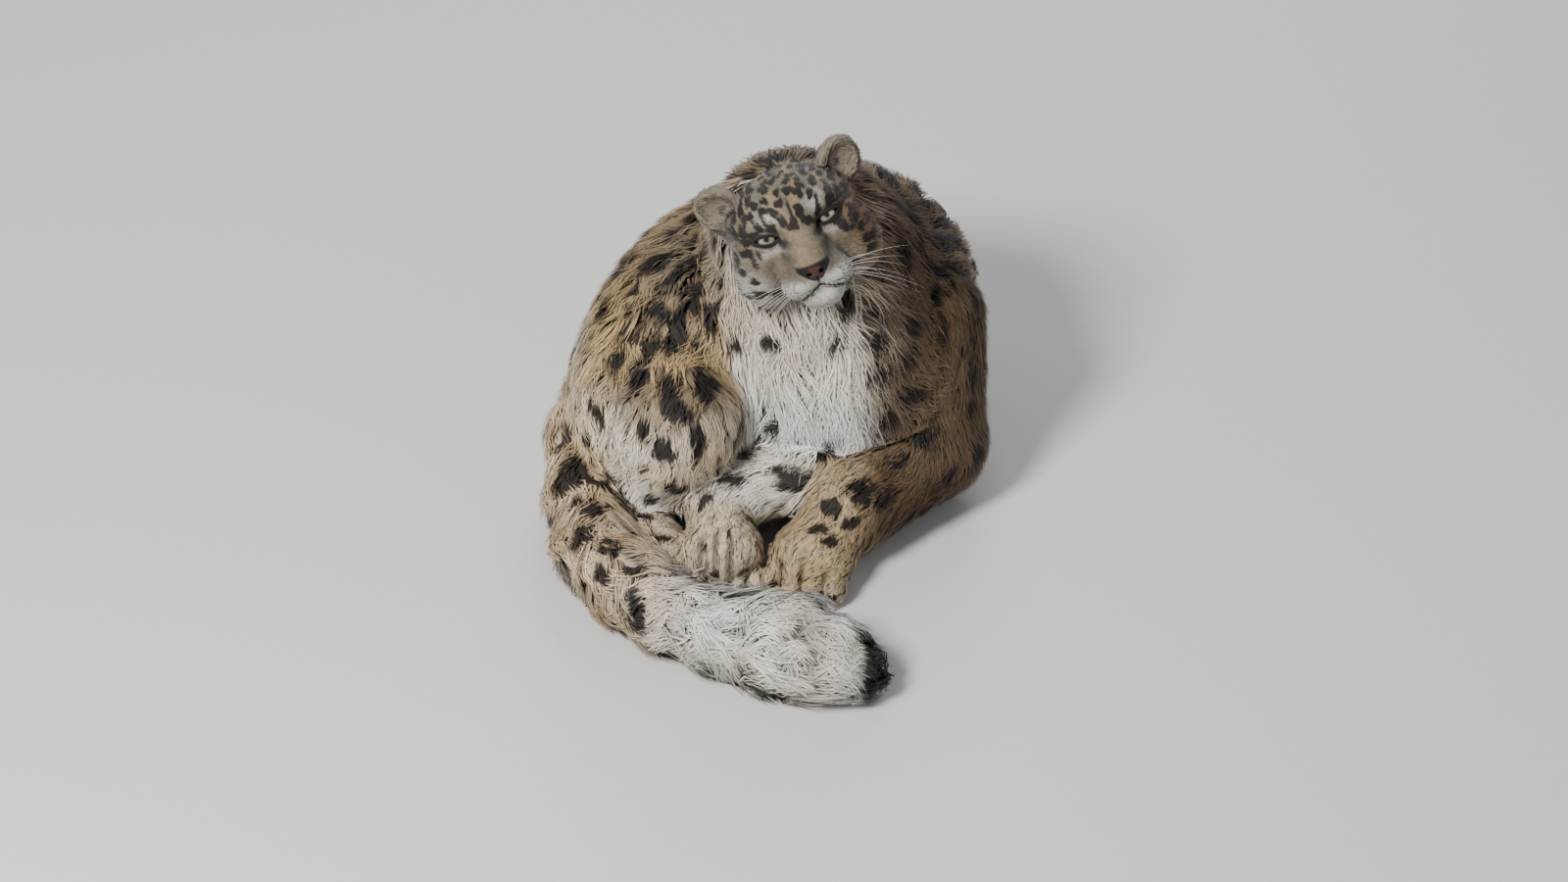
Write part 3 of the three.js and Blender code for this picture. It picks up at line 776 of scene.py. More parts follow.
@dataclass(frozen=True)
class MarkRule:
    """How seeded marks stand on a part: spacing and radius in millimetres, length for width, ring or not."""

    spacing: float
    radius: float
    long: float
    ring: bool = False


MARK_RULES: dict[Region, MarkRule] = {
    Region.TRUNK: MarkRule(46, 25, 1.1, True),
    Region.NECK: MarkRule(34, 15, 1.2),
    Region.HAUNCH: MarkRule(46, 23, 1.2),
    Region.TAIL: MarkRule(52, 26, 0.9),
    Region.LIMB: MarkRule(33, 13, 1.3),
    Region.FOOT: MarkRule(27, 5, 1.4),
    Region.HEAD: MarkRule(11.6, 7.4, 1.35),
}
# How many of a part's points are tried as places for marks.
MARK_TRIES = 4000
# The share of a part's marks that are open, and the sizes of open and of solid ones for the part's radius.
OPEN_SHARE = 0.62
OPEN_SIZE = 1.1
SOLID_SIZE = 0.72
# Where along x the tail's white front begins, past which no marks are scattered.
TAIL_FRONT = -120


@dataclass
class Markings:
    """The dark rosettes, spots and streaks: seeded ones, and the photograph's own in their places."""

    anatomy: Anatomy
    seed: int = 77
    spots: list[Spot] = field(default_factory=list)

    def scatter(self, points: Array, normals: Array, flows: Array, regions: Array) -> None:
        """Spread marks over the skin, each part of the coat with its own size and spacing.

        Args:
            points: The skin's points.
            normals: Its normals there.
            flows: The lie of the coat there.
            regions: The region number of each point.
        """
        chance = np.random.default_rng(self.seed)
        chest = chest_share(points, normals)
        for region, rule in MARK_RULES.items():
            chosen = np.flatnonzero(regions == region.value)
            chance.shuffle(chosen)
            on_body = region in (Region.TRUNK, Region.NECK)
            kept: list[Array] = []
            for index in chosen[:MARK_TRIES]:
                here = points[index]
                if normals[index, 2] < -0.5 or (on_body and chest[index] > 0.45):
                    continue
                if region is Region.TAIL and here[0] > TAIL_FRONT:
                    continue
                if region is Region.HEAD and not self.head_spot(here, chance.random()):
                    continue
                if kept and np.min(np.linalg.norm(np.array(kept) - here, axis=1)) < rule.spacing:
                    continue
                kept.append(here)
                size = rule.radius * chance.uniform(0.8, 1.2)
                ring = rule.ring and chance.random() < OPEN_SHARE
                radius = size * (OPEN_SIZE if ring else SOLID_SIZE)
                phases = chance.random(5) * 6.28
                self.spots.append(Spot(here, flows[index], normals[index], radius, rule.long, ring, phases))

    def head_spot(self, place: Array, draw: float) -> bool:
        """Say whether a small spot may stand at a place of the head: the crown, or more thinly the cheeks."""
        forward, up, left = self.anatomy.head.axes.local(place[None])[0]
        side = abs(left)
        on_brow = brow_share(np.array(side), np.array(up)) > 0.3
        crown = 10 < up and side < 66 and not on_brow
        cheek = side > 44 and -62 < up < 16 and forward < 4
        return bool(crown or (cheek and draw < (0.3 if left < 0 else 0.6)))

    def clear(self, places: Array, reach: float) -> None:
        """Take away scattered marks near chosen places."""
        self.spots = [spot for spot in self.spots if np.linalg.norm(places - spot.at, axis=1).min() > reach]

    def add(self, at: Array, normal: Array, way: Array, radius: float, long: float) -> None:
        """Add one solid mark at a chosen place."""
        phases = np.random.default_rng(int(abs(at[0]) * 10)).random(5) * 6.28
        self.spots.append(Spot(at, way, normal, radius, long, False, phases))

    def values(self, points: Array) -> tuple[Array, Array]:
        """Give how dark the marks are at points.

        Args:
            points: Places on the skin or at the tufts' roots.

        Returns:
            The darkness of the marks, and the warm shade inside the open ones.
        """
        dark = np.zeros(len(points), np.float32)
        warm = np.zeros(len(points), np.float32)
        for spot in self.spots:
            offset = points - spot.at
            near = np.flatnonzero((np.abs(offset) < spot.radius * 1.9 * max(1, spot.long)).all(1))
            if not len(near):
                continue
            offset = offset[near]
            side = np.cross(spot.normal, spot.way)
            along, across, high = offset @ spot.way / spot.long, offset @ side, offset @ spot.normal
            turn = np.arctan2(across, along)
            a, b, c, d, e = spot.phases
            wobble = 1 + 0.16 * np.sin(2 * turn + a) + 0.14 * np.sin(3 * turn + b)
            wobble += 0.08 * np.sin(5 * turn + c)
            reach = np.sqrt(along**2 + across**2 + (0.2 * high) ** 2) / (spot.radius * wobble)
            if spot.ring:
                broken = smooth_step(-0.75, -0.35, np.sin(2 * turn + d) + 0.5 * np.sin(3 * turn + e))
                value = (1 - smooth_step(0.24, 0.4, np.abs(reach - 0.72))) * broken
                warm[near] = np.maximum(warm[near], 1 - smooth_step(0.45, 0.8, reach))
            else:
                value = 1 - smooth_step(0.82, 1.12, reach)
            dark[near] = np.maximum(dark[near], value)
        return dark, warm


def chest_share(points: Array, normals: Array) -> Array:
    """Give how much a place belongs to the long white coat of the chest and throat."""
    across = smooth_step(-52, -18, points[:, 0]) * (1 - smooth_step(128, 176, points[:, 0]))
    front = smooth_step(-0.15, 0.35, -normals[:, 1])
    return across * front * (1 - smooth_step(400, 440, points[:, 1])) * smooth_step(20, 50, points[:, 2])


@dataclass
class Lie:
    """Which way the coat lies on each part."""

    anatomy: Anatomy

    def along(self, stations: Sequence[Station], points: Array) -> Array:
        """Give the direction of a line of stations where it passes nearest to points."""
        places = np.array(stations, np.float32)[:, :3]
        middles = (places[1:] + places[:-1]) / 2
        ways = unit(places[1:] - places[:-1])
        gap = ((points[:, None] - middles) ** 2).sum(-1)
        weight = np.exp(-(gap - gap.min(1, keepdims=True)) / 3000)
        return unit((weight[..., None] * ways).sum(1))

    def flow(self, points: Array, normals: Array, regions: Array) -> Array:
        """Give the lie of the coat at points.

        Args:
            points: Places on the skin.
            normals: The skin's normals there.
            regions: Each place's region number.

        Returns:
            Unit directions along the skin.
        """
        down = np.array([0, 0, -1], np.float32)
        backward = unit(self.along(self.anatomy.body, points) + 0.7 * down)
        chest = chest_share(points, normals)[:, None]
        lie = unit(backward * (1 - chest) + down * chest)
        table = {
            Region.NECK: np.broadcast_to(unit(np.array([0.2, 0.1, -1], np.float32)), points.shape),
            Region.HAUNCH: np.broadcast_to(unit(np.array([-0.3, -0.25, -0.9], np.float32)), points.shape),
            Region.TAIL: self.along(self.anatomy.tail, points),
        }
        limbs = np.zeros_like(points)
        nearest = np.full(len(points), 1e9, np.float32)
        for leg in self.anatomy.legs:
            line = (*leg.stations, (*leg.foot.at, 1.0))
            gap = chain(line, 10)(points)
            better = gap < nearest
            nearest[better] = gap[better]
            limbs[better] = self.along(line, points[better])
            toes = np.array([*leg.foot.toes, -0.2], np.float32)
            at_foot = better & (regions == Region.FOOT.value)
            limbs[at_foot] = toes
        table[Region.LIMB] = limbs
        table[Region.FOOT] = limbs
        for region, ways in table.items():
            here = regions == region.value
            lie[here] = ways[here]
        head = (regions == Region.HEAD.value) | (regions == Region.EAR.value)
        nose = self.anatomy.head.axes.point(self.anatomy.head.nose_at)
        lie[head] = unit(points[head] - nose)
        return unit(lie - (lie * normals).sum(1, keepdims=True) * normals)


@dataclass(frozen=True)
class Coat:
    """How one part of the coat grows. Lengths are in millimetres, and count is tufts a square metre."""

    count: int
    length: float
    lift: float
    width: float
    curl: float
    clump: float
    pull: float
    rings: int


COATS: dict[Region, Coat] = {
    Region.TRUNK: Coat(94000, 46, 17, 2.5, 8.0, 25, 0.84, 2),
    Region.NECK: Coat(92000, 50, 17, 2.2, 6.5, 22, 0.72, 3),
    Region.HAUNCH: Coat(104000, 42, 13, 2.5, 7.0, 24, 0.82, 2),
    Region.TAIL: Coat(90000, 52, 18, 2.5, 12.0, 26, 0.95, 3),
    Region.LIMB: Coat(180000, 27, 9, 2.2, 1.4, 15, 0.45, 1),
    Region.FOOT: Coat(210000, 14, 4.6, 2.0, 0.8, 10, 0.45, 1),
    Region.HEAD: Coat(480000, 9.0, 2.6, 1.05, 0.2, 6, 0.3, 1),
    Region.EAR: Coat(420000, 8, 2.2, 1.1, 0.3, 6, 0.3, 1),
}
# The height that no tuft's tip passes, over the skin.
TUFT_REACH = 33
# How far under a tuft's line its colour and marks are read.
UNDER_LINE = 5
# Where a tuft's rings stand between its root and its tip, and their share of its width.
RING_PLACES = {1: (0.42,), 2: (0.28, 0.64), 3: (0.2, 0.48, 0.76)}
RING_WIDTHS = {1: (1.0,), 2: (1.0, 0.78), 3: (0.85, 1.0, 0.66)}


@dataclass
class Roots:
    """Where tufts grow, with what each one needs."""

    at: Array
    normal: Array
    flow: Array
    region: Array
    unwrap: Array

    def where(self, chosen: Array) -> "Roots":
        """Give the chosen roots alone."""
        return Roots(*(getattr(self, name)[chosen] for name in ("at", "normal", "flow", "region", "unwrap")))


# Large whole numbers that turn a lattice place into draws from 0 to 1.
LATTICE_KEYS = (73856093, 19349663, 83492791)
LATTICE_SEED = 2654435761
LATTICE_FACTORS = (1103515245, 12820163, 69069, 40692)
LATTICE_RANGE = 1000003


def worley(points: Array, cell: float, seed: int) -> tuple[Array, Array]:
    """Give the nearest of a jittered lattice's points, and a number of its own, for each place.

    Args:
        points: The places.
        cell: The lattice's spacing.
        seed: What makes one lattice differ from another.

    Returns:
        The nearest lattice points, and a random number from 0 to 1 for each.
    """
    base = np.floor(points / cell).astype(np.int64)
    best = np.full(len(points), 1e9, np.float32)
    centre = np.zeros_like(points)
    number = np.zeros(len(points), np.float32)
    for shift in np.ndindex(3, 3, 3):
        lattice = base + np.array(shift) - 1
        mixed = lattice @ np.array(LATTICE_KEYS) + seed * LATTICE_SEED
        keys = [((mixed * factor) ^ (mixed >> 13)) % LATTICE_RANGE for factor in LATTICE_FACTORS]
        draws = [key / LATTICE_RANGE for key in keys]
        spot = (lattice + np.stack(draws[:3], 1)) * cell
        gap = ((points - spot) ** 2).sum(1)
        better = gap < best
        best[better] = gap[better]
        centre[better] = spot[better]
        number[better] = draws[3][better]
    return centre.astype(np.float32), number


# Materials.


def new_group(name: str, inputs: dict[str, str], outputs: dict[str, str]) -> bpy.types.ShaderNodeTree:
    """Make an empty shader group with named sockets.

    Args:
        name: The group's name.
        inputs: Socket names and their kinds.
        outputs: Socket names and their kinds.

    Returns:
        The group's node tree, with its input and output nodes.
    """
    tree = bpy.data.node_groups.new(name, "ShaderNodeTree")
    for label, kind in inputs.items():
        tree.interface.new_socket(label, in_out="INPUT", socket_type=kind)
    for label, kind in outputs.items():
        tree.interface.new_socket(label, in_out="OUTPUT", socket_type=kind)
    tree.nodes.new("NodeGroupInput").name = "In"
    tree.nodes.new("NodeGroupOutput").name = "Out"
    return tree


def mix_colours(tree: bpy.types.NodeTree, mode: str = "MIX") -> bpy.types.Node:
    """Add a node that mixes two colours."""
    node = tree.nodes.new("ShaderNodeMix")
    node.data_type = "RGBA"
    node.blend_type = mode
    return node


def add_noise(
    tree: bpy.types.NodeTree, vector: bpy.types.NodeSocket, scale: float, detail: float
) -> bpy.types.Node:
    """Add a noise texture that reads a vector."""
    node = tree.nodes.new("ShaderNodeTexNoise")
    node.inputs["Scale"].default_value = scale
    node.inputs["Detail"].default_value = detail
    tree.links.new(vector, node.inputs["Vector"])
    return node


def add_range(
    tree: bpy.types.NodeTree, value: bpy.types.NodeSocket, source: Sequence[float], target: Sequence[float]
) -> bpy.types.Node:
    """Add a node that turns one range of values into another."""
    node = tree.nodes.new("ShaderNodeMapRange")
    for label, number in zip(("From Min", "From Max", "To Min", "To Max"), (*source, *target)):
        node.inputs[label].default_value = number
    tree.links.new(value, node.inputs["Value"])
    return node


def hair_colour_group() -> bpy.types.ShaderNodeTree:
    """Make the group that gives fur its colour.

    Returns:
        A group that mixes the coat's tone, its marks, a warm drift, and a darkening from the tip to the root
        that is partly the darker undercoat and partly painted shade deep in the coat, with a painted
        highlight on the tips.
    """
    tree = new_group(
        "HairColour",
        {"Tone": "NodeSocketColor"} | dict.fromkeys(("Mark", "Along", "Shade"), "NodeSocketFloat"),
        {"Colour": "NodeSocketColor", "Rough": "NodeSocketFloat"},
    )
    nodes, links = tree.nodes, tree.links
    inward, outward = nodes["In"], nodes["Out"]
    place = nodes.new("ShaderNodeTexCoord")
    drift = add_noise(tree, place.outputs["Object"], 11, 3)
    warmth = add_range(tree, drift.outputs["Fac"], (0.46, 0.66), (0, 0.36))
    warm = mix_colours(tree, "MULTIPLY")
    warm.inputs["B"].default_value = (0.96, 0.82, 0.62, 1)
    links.new(warmth.outputs["Result"], warm.inputs["Factor"])
    links.new(inward.outputs["Tone"], warm.inputs["A"])
    fleck = add_noise(tree, place.outputs["Object"], 420, 2)
    grain = add_range(tree, fleck.outputs["Fac"], (0.3, 0.7), (0.86, 1.12))
    # Darker at the root and brighter at the tip: partly the darker undercoat, partly painted shade among the
    # hairs and a painted highlight on the tips.
    tip = add_range(tree, inward.outputs["Along"], (0, 1), (0.4, 1.3))
    tint = add_range(tree, inward.outputs["Shade"], (0, 1), (0.62, 1.24))
    product = nodes.new("ShaderNodeMath")
    product.operation = "MULTIPLY"
    links.new(grain.outputs["Result"], product.inputs[0])
    links.new(tip.outputs["Result"], product.inputs[1])
    both = nodes.new("ShaderNodeMath")
    both.operation = "MULTIPLY"
    links.new(product.outputs[0], both.inputs[0])
    links.new(tint.outputs["Result"], both.inputs[1])
    lit = nodes.new("ShaderNodeVectorMath")
    lit.operation = "SCALE"
    links.new(warm.outputs["Result"], lit.inputs[0])
    links.new(both.outputs[0], lit.inputs["Scale"])
    marked = mix_colours(tree)
    marked.inputs["B"].default_value = (*SPOT_BLACK, 1)
    capped = nodes.new("ShaderNodeVectorMath")
    capped.operation = "MINIMUM"
    capped.inputs[1].default_value = (0.9, 0.9, 0.9)
    links.new(lit.outputs[0], capped.inputs[0])
    strength = add_range(tree, inward.outputs["Mark"], (0.1, 0.7), (0, 0.97))
    links.new(strength.outputs["Result"], marked.inputs["Factor"])
    links.new(capped.outputs[0], marked.inputs["A"])
    links.new(marked.outputs["Result"], outward.inputs["Colour"])
    rough = add_range(tree, fleck.outputs["Fac"], (0.3, 0.7), (0.58, 0.8))
    links.new(rough.outputs["Result"], outward.inputs["Rough"])
    return tree


@dataclass(frozen=True)
class FurFinish:
    """Fur, on the tufts or as the short nap of the skin under them."""

    name: str
    nap: float
    sheen: float = 0.12

    def build(self, group: bpy.types.ShaderNodeTree) -> bpy.types.Material:
        """Make the material.

        Args:
            group: The shared group that gives fur its colour.

        Returns:
            The material.
        """
        material = bpy.data.materials.new(self.name)
        material.use_nodes = True
        tree = material.node_tree
        shader = tree.nodes["Principled BSDF"]
        colour = tree.nodes.new("ShaderNodeGroup")
        colour.node_tree = group
        for label in ("tone", "strand"):
            attribute = tree.nodes.new("ShaderNodeAttribute")
            attribute.attribute_name = label
            attribute.name = label
        tone, strand = tree.nodes["tone"], tree.nodes["strand"]
        split = tree.nodes.new("ShaderNodeSeparateColor")
        tree.links.new(strand.outputs["Color"], split.inputs["Color"])
        tree.links.new(tone.outputs["Color"], colour.inputs["Tone"])
        for channel, label in zip(("Red", "Green", "Blue"), ("Mark", "Along", "Shade")):
            tree.links.new(split.outputs[channel], colour.inputs[label])
        tree.links.new(colour.outputs["Colour"], shader.inputs["Base Color"])
        tree.links.new(colour.outputs["Rough"], shader.inputs["Roughness"])
        shader.inputs["Specular IOR Level"].default_value = 0.3
        shader.inputs["Sheen Weight"].default_value = self.sheen
        shader.inputs["Sheen Roughness"].default_value = 0.4
        place = tree.nodes.new("ShaderNodeTexCoord")
        nap = add_noise(tree, place.outputs["Object"], 900, 3)
        bump = tree.nodes.new("ShaderNodeBump")
        bump.inputs["Strength"].default_value = self.nap
        bump.inputs["Distance"].default_value = 0.002
        tree.links.new(nap.outputs["Fac"], bump.inputs["Height"])
        tree.links.new(bump.outputs["Normal"], shader.inputs["Normal"])
        return material


@dataclass(frozen=True)
class EyeFinish:
    """A wet eye: a dark round pupil in a streaked grey-green iris."""

    name: str = "eye_wet"

    def build(self) -> bpy.types.Material:
        """Make the material from the angle that each point lies away from the gaze."""
        material = bpy.data.materials.new(self.name)
        material.use_nodes = True
        tree = material.node_tree
        shader = tree.nodes["Principled BSDF"]
        gaze = tree.nodes.new("ShaderNodeAttribute")
        gaze.attribute_name = "gaze"
        ramp = tree.nodes.new("ShaderNodeValToRGB")
        stops = [
            (0.0, (0.004, 0.004, 0.004)),
            (0.15, (0.004, 0.004, 0.004)),
            (0.18, linear(88, 92, 66)),
            (0.38, linear(146, 154, 128)),
            (0.56, linear(112, 118, 94)),
            (0.64, linear(40, 36, 28)),
            (0.7, linear(10, 8, 6)),
        ]
        while len(ramp.color_ramp.elements) < len(stops):
            ramp.color_ramp.elements.new(0.5)
        for element, (place, colour) in zip(ramp.color_ramp.elements, stops):
            element.position = place
            element.color = (*colour, 1)
        tree.links.new(gaze.outputs["Fac"], ramp.inputs["Fac"])
        turn = tree.nodes.new("ShaderNodeAttribute")
        turn.attribute_name = "spoke"
        streak = add_noise(tree, turn.outputs["Vector"], 9, 2)
        shade = add_range(tree, streak.outputs["Fac"], (0.35, 0.65), (0.8, 1.15))
        lit = tree.nodes.new("ShaderNodeVectorMath")
        lit.operation = "SCALE"
        tree.links.new(ramp.outputs["Color"], lit.inputs[0])
        tree.links.new(shade.outputs["Result"], lit.inputs["Scale"])
        tree.links.new(lit.outputs[0], shader.inputs["Base Color"])
        shader.inputs["Roughness"].default_value = 0.12
        shader.inputs["Coat Weight"].default_value = 1.0
        shader.inputs["Coat Roughness"].default_value = 0.03
        return material


@dataclass(frozen=True)
class PlainFinish:
    """A smooth finish with a fine grain, for whiskers and the floor."""

    name: str
    colour: tuple[float, float, float]
    roughness: float
    grain: float = 0.1

    def build(self) -> bpy.types.Material:
        """Make the material."""
        material = bpy.data.materials.new(self.name)
        material.use_nodes = True
        tree = material.node_tree
        shader = tree.nodes["Principled BSDF"]
        place = tree.nodes.new("ShaderNodeTexCoord")
        noise = add_noise(tree, place.outputs["Object"], 60, 4)
        shade = add_range(tree, noise.outputs["Fac"], (0, 1), (1 - self.grain, 1 + self.grain))
        tint = tree.nodes.new("ShaderNodeVectorMath")
        tint.operation = "SCALE"
        tint.inputs[0].default_value = self.colour
        tree.links.new(shade.outputs["Result"], tint.inputs["Scale"])
        tree.links.new(tint.outputs[0], shader.inputs["Base Color"])
        shader.inputs["Roughness"].default_value = self.roughness
        return material


# The animal.


def brow_share(side: Array, up: Array) -> Array:
    """Give how much a place of the head belongs to the pale patch over an eye."""
    return np.exp(-(((side - 28) / 11) ** 2 + ((up - 23) / 8.5) ** 2))


# The dark bars under each eye: how far out from it they stand, and their lower and upper ends.
CHEEK_BARS = ((17, -22, -13), (24, -30, -12), (31, -18, -9))


def coat_turn(region: int) -> float:
    """Give how far locks turn aside from the lie of the coat, in radians from side to side."""
    if region == Region.TAIL.value:
        return 1.5
    return 1.0 if region < Region.LIMB.value else 0.5


@dataclass
class Pelt:
    """The skin and the coat that grows from it."""

    anatomy: Anatomy
    lie: Lie
    markings: Markings
    shift: Array
    skin_material: bpy.types.Material
    coat_material: bpy.types.Material
    body_step: float = 5.5
    foot_step: float = 3.0
    head_step: float = 1.5
    seed: int = 5
    body_shell: Shell = field(init=False)
    head_shell: Shell = field(init=False)
    points: Array = field(init=False)
    quads: Array = field(init=False)
    normals: Array = field(init=False)
    regions: Array = field(init=False)
    unwrap: Array = field(init=False)

    def to_metres(self, points: Array) -> Array:
        """Turn the forms' millimetres into the model's metres."""
        return (points + self.shift) * MM

    def build_skin(self) -> bpy.types.Object:
        """Make the skin from the body's and the head's outlines, give its points their regions and unwrap it.

        Returns:
            The skin.
        """
        body = self.anatomy.skin
        far, near = self.body_step, self.foot_step
        across = ruler(-300, (-176, far), (128, near), (310, far))
        deep = ruler(-130, (130, far), (296, near), (740, far))
        high = ruler(-5, (88, near), (500, far))
        self.body_shell = Shell.from_field(body, (across, deep, high))
        points, quads = self.body_shell.surface()
        points = settle(body, points, 1)
        head = self.anatomy.head.skin()
        centre = self.anatomy.head.axes.point((-30, -10, 0))
        span = (128, 128, 116)
        axes = tuple(ruler(m - s, (m + s, self.head_step)) for m, s in zip(centre, span))
        self.head_shell = Shell.from_field(head, axes)
        head_points, head_quads = self.head_shell.surface()
        head_points = settle(head, head_points, 1)
        self.points = np.concatenate([points, head_points])
        self.quads = np.concatenate([quads, head_quads + len(points)])
        self.normals = np.concatenate([slope(body, points), slope(head, head_points)])
        self.regions = np.concatenate([self.anatomy.regions(points), self.head_regions(head_points)])
        skin = make_mesh("skin", self.to_metres(self.points), self.quads, self.skin_material)
        self.unwrap = self.unwrap_skin(skin)
        return skin

    def head_regions(self, points: Array) -> Array:
        """Give the region numbers of the head's points."""
        head = self.anatomy.head
        local = head.axes.local(points)
        ears = np.minimum(head.ear(1)(local), head.ear(-1)(local)) < 1.5
        ears &= head.skull()(local) + head.depth > 2
        return np.where(ears, Region.EAR.value, Region.HEAD.value)

    def unwrap_skin(self, skin: bpy.types.Object) -> Array:
        """Unwrap the skin's own shape into the map named OFBake.

        Args:
            skin: The skin.

        Returns:
            The map's places, one for each corner of each quad.
        """
        skin.data.uv_layers.new(name="OFBake")
        bpy.context.view_layer.objects.active = skin
        skin.select_set(True)
        bpy.ops.object.mode_set(mode="EDIT")
        bpy.ops.mesh.select_all(action="SELECT")
        bpy.ops.uv.smart_project(angle_limit=math.radians(66), island_margin=0.001)
        bpy.ops.object.mode_set(mode="OBJECT")
        skin.select_set(False)
        places = np.empty(len(skin.data.loops) * 2, np.float32)
        skin.data.uv_layers["OFBake"].data.foreach_get("uv", places)
        return places.reshape(-1, 4, 2)

    def tones(self, points: Array, normals: Array, regions: Array) -> tuple[Array, Array]:
        """Give the coat's colour and its marks at points.

        Args:
            points: Places on the skin.
            normals: The skin's normals there.
            regions: Each place's region number.

        Returns:
            The tone without marks, and how dark the marks are.
        """
        tail = regions == Region.TAIL.value
        low = (regions == Region.LIMB.value) | (regions == Region.FOOT.value)
        body = ~tail & ~low
        tone = self.back_tone(points, normals, regions)
        tone[tail] = self.tail_tone(points[tail])
        tone[low] = self.leg_tone(points[low], regions[low])
        tone[body] = self.front_tone(tone[body], points[body], normals[body])
        # The far side is darkened towards that brown: partly its own browner fur, partly painted shade for
        # the side turned from the light.
        far_side_brown_and_shade = smooth_step(98, 150, points[:, 0]) * smooth_step(610, 480, points[:, 1])
        tone = blend(tone, FAR_BROWN_AND_PAINTED_SHADE, 0.9 * far_side_brown_and_shade)
        tone = self.ruff_tone(tone, points, regions)
        dark, warm = self.markings.values(points)
        tone = blend(tone, ROSETTE_CORE, 0.6 * warm)
        end = smooth_step(112, 128, points[:, 0]) * smooth_step(60, 40, points[:, 1]) * tail
        dark = np.maximum(dark, end)
        # Painted shade in the grooves between the toes.
        for leg in self.anatomy.legs:
            dark = np.maximum(dark, 0.5 * leg.foot.groove(points) * (regions == Region.FOOT.value))
        head = regions >= Region.HEAD.value
        tone[head], face_dark = self.face_tones(points[head], regions[head])
        dark[head] = np.maximum(dark[head], face_dark)
        return tone, dark

    def back_tone(self, points: Array, normals: Array, regions: Array) -> Array:
        """Give the body's ground colour: grey above, cream below, with golden patches."""
        x, y, z = points.T
        rise = smooth_step(0.0, 0.75, normals[:, 2])
        tone = blend(np.repeat(np.array([CREAM], np.float32), len(points), 0), GREY_BUFF, rise)
        gold = 0.34 + 0.44 * np.sin(0.031 * x + 2 * np.sin(0.017 * z)) * np.sin(0.027 * z - 0.022 * y)
        on_haunch = regions == Region.HAUNCH.value
        gold += 0.4 * blot(x + 92, z - 240, 60, 60) * ~on_haunch
        gold *= np.where(on_haunch, 0.5, 1.0)
        return blend(tone, TAN, np.clip(gold, 0, 0.9))

    def tail_tone(self, points: Array) -> Array:
        """Give the tail's colour: golden with dusky waves at first, and white towards its end."""
        x, y, z = points.T
        tan, cream, white = (np.array(c, np.float32) for c in (TAN, CREAM, WHITE))
        dusk = 0.32 + 0.3 * np.sin(0.052 * x + 1.8 * np.sin(0.031 * y)) * np.sin(0.043 * y + 0.06 * z)
        ground = np.repeat((0.55 * tan + 0.45 * cream)[None], len(points), 0)
        ground = blend(ground, ROSETTE_CORE, dusk)
        pale = blend(np.repeat(0.85 * white[None], len(points), 0), RUFF_GREY, 0.5 * dusk)
        front = smooth_step(-176, -66, x)[:, None]
        return ground * (1 - front) + pale * front

    def leg_tone(self, points: Array, regions: Array) -> Array:
        """Give the legs' colour: buff, mottled, with a white forearm under the chest and paler toes."""
        x, y, z = points.T
        pale_white = 0.6 * np.array(WHITE, np.float32) + 0.4 * np.array(CREAM, np.float32)
        tone = np.repeat(np.array([PAW_BUFF], np.float32), len(points), 0)
        tone = blend(tone, CREAM, 0.55 * smooth_step(15, -25, x))
        forearm = smooth_step(80, 40, x) * smooth_step(236, 262, y) * (regions == Region.LIMB.value)
        tone = blend(tone, pale_white, forearm)
        mottle = 0.5 + 0.5 * np.sin(0.19 * x + 1.7 * np.sin(0.13 * y)) * np.sin(0.17 * z + 0.11 * y)
        tone = blend(tone, ROSETTE_CORE, 0.3 * mottle)
        return blend(tone, CREAM, 0.55 * smooth_step(40, 14, z) * (regions == Region.FOOT.value))

    def front_tone(self, tone: Array, points: Array, normals: Array) -> Array:
        """Lay the smoky shoulders and the pale chest, with its white middle, over the body's colour."""
        x, _, z = points.T
        chest = chest_share(points, normals)
        ripple = 14 * np.sin(0.045 * z + 1.5 * np.sin(0.06 * x))
        half = 66 + 0.12 * np.clip(350 - z, 0, 260) + ripple
        bright = (chest * (1 - smooth_step(half - 34, half + 30, np.abs(x - 60))))[:, None]
        tone = blend(tone, SHOULDER_SMOKE, 0.8 * smooth_step(236, 318, z))
        side_chest = 0.2 * np.array(TAN, np.float32) + 0.8 * np.array(CREAM, np.float32)
        tone = blend(tone, side_chest, chest)
        white = np.repeat(np.array([WHITE], np.float32), len(points), 0)
        middle = blend(white, CREAM, 0.85 * smooth_step(190, 290, z))
        return tone * (1 - bright) + middle * bright

    def ruff_tone(self, tone: Array, points: Array, regions: Array) -> Array:
        """Lay the ruff's colours on the body near the head: a golden brown at its left, partly the fur's own
        and partly painted shade for that side, and grey at its right.
        """
        across = self.anatomy.head.axes.local(points)[:, 2]
        near = 1 - smooth_step(4, 46, self.head_shell.distance(points))
        near = near * smooth_step(34, 60, np.abs(across)) * (regions < Region.LIMB.value)
        # The left's golden brown is partly painted shade for that side.
        gold, grey = np.array(CHEEK_GOLD_AND_SHADE, np.float32), np.array(RUFF_GREY, np.float32)
        return blend(tone, np.where(across[:, None] > 0, gold, grey), 0.8 * near)

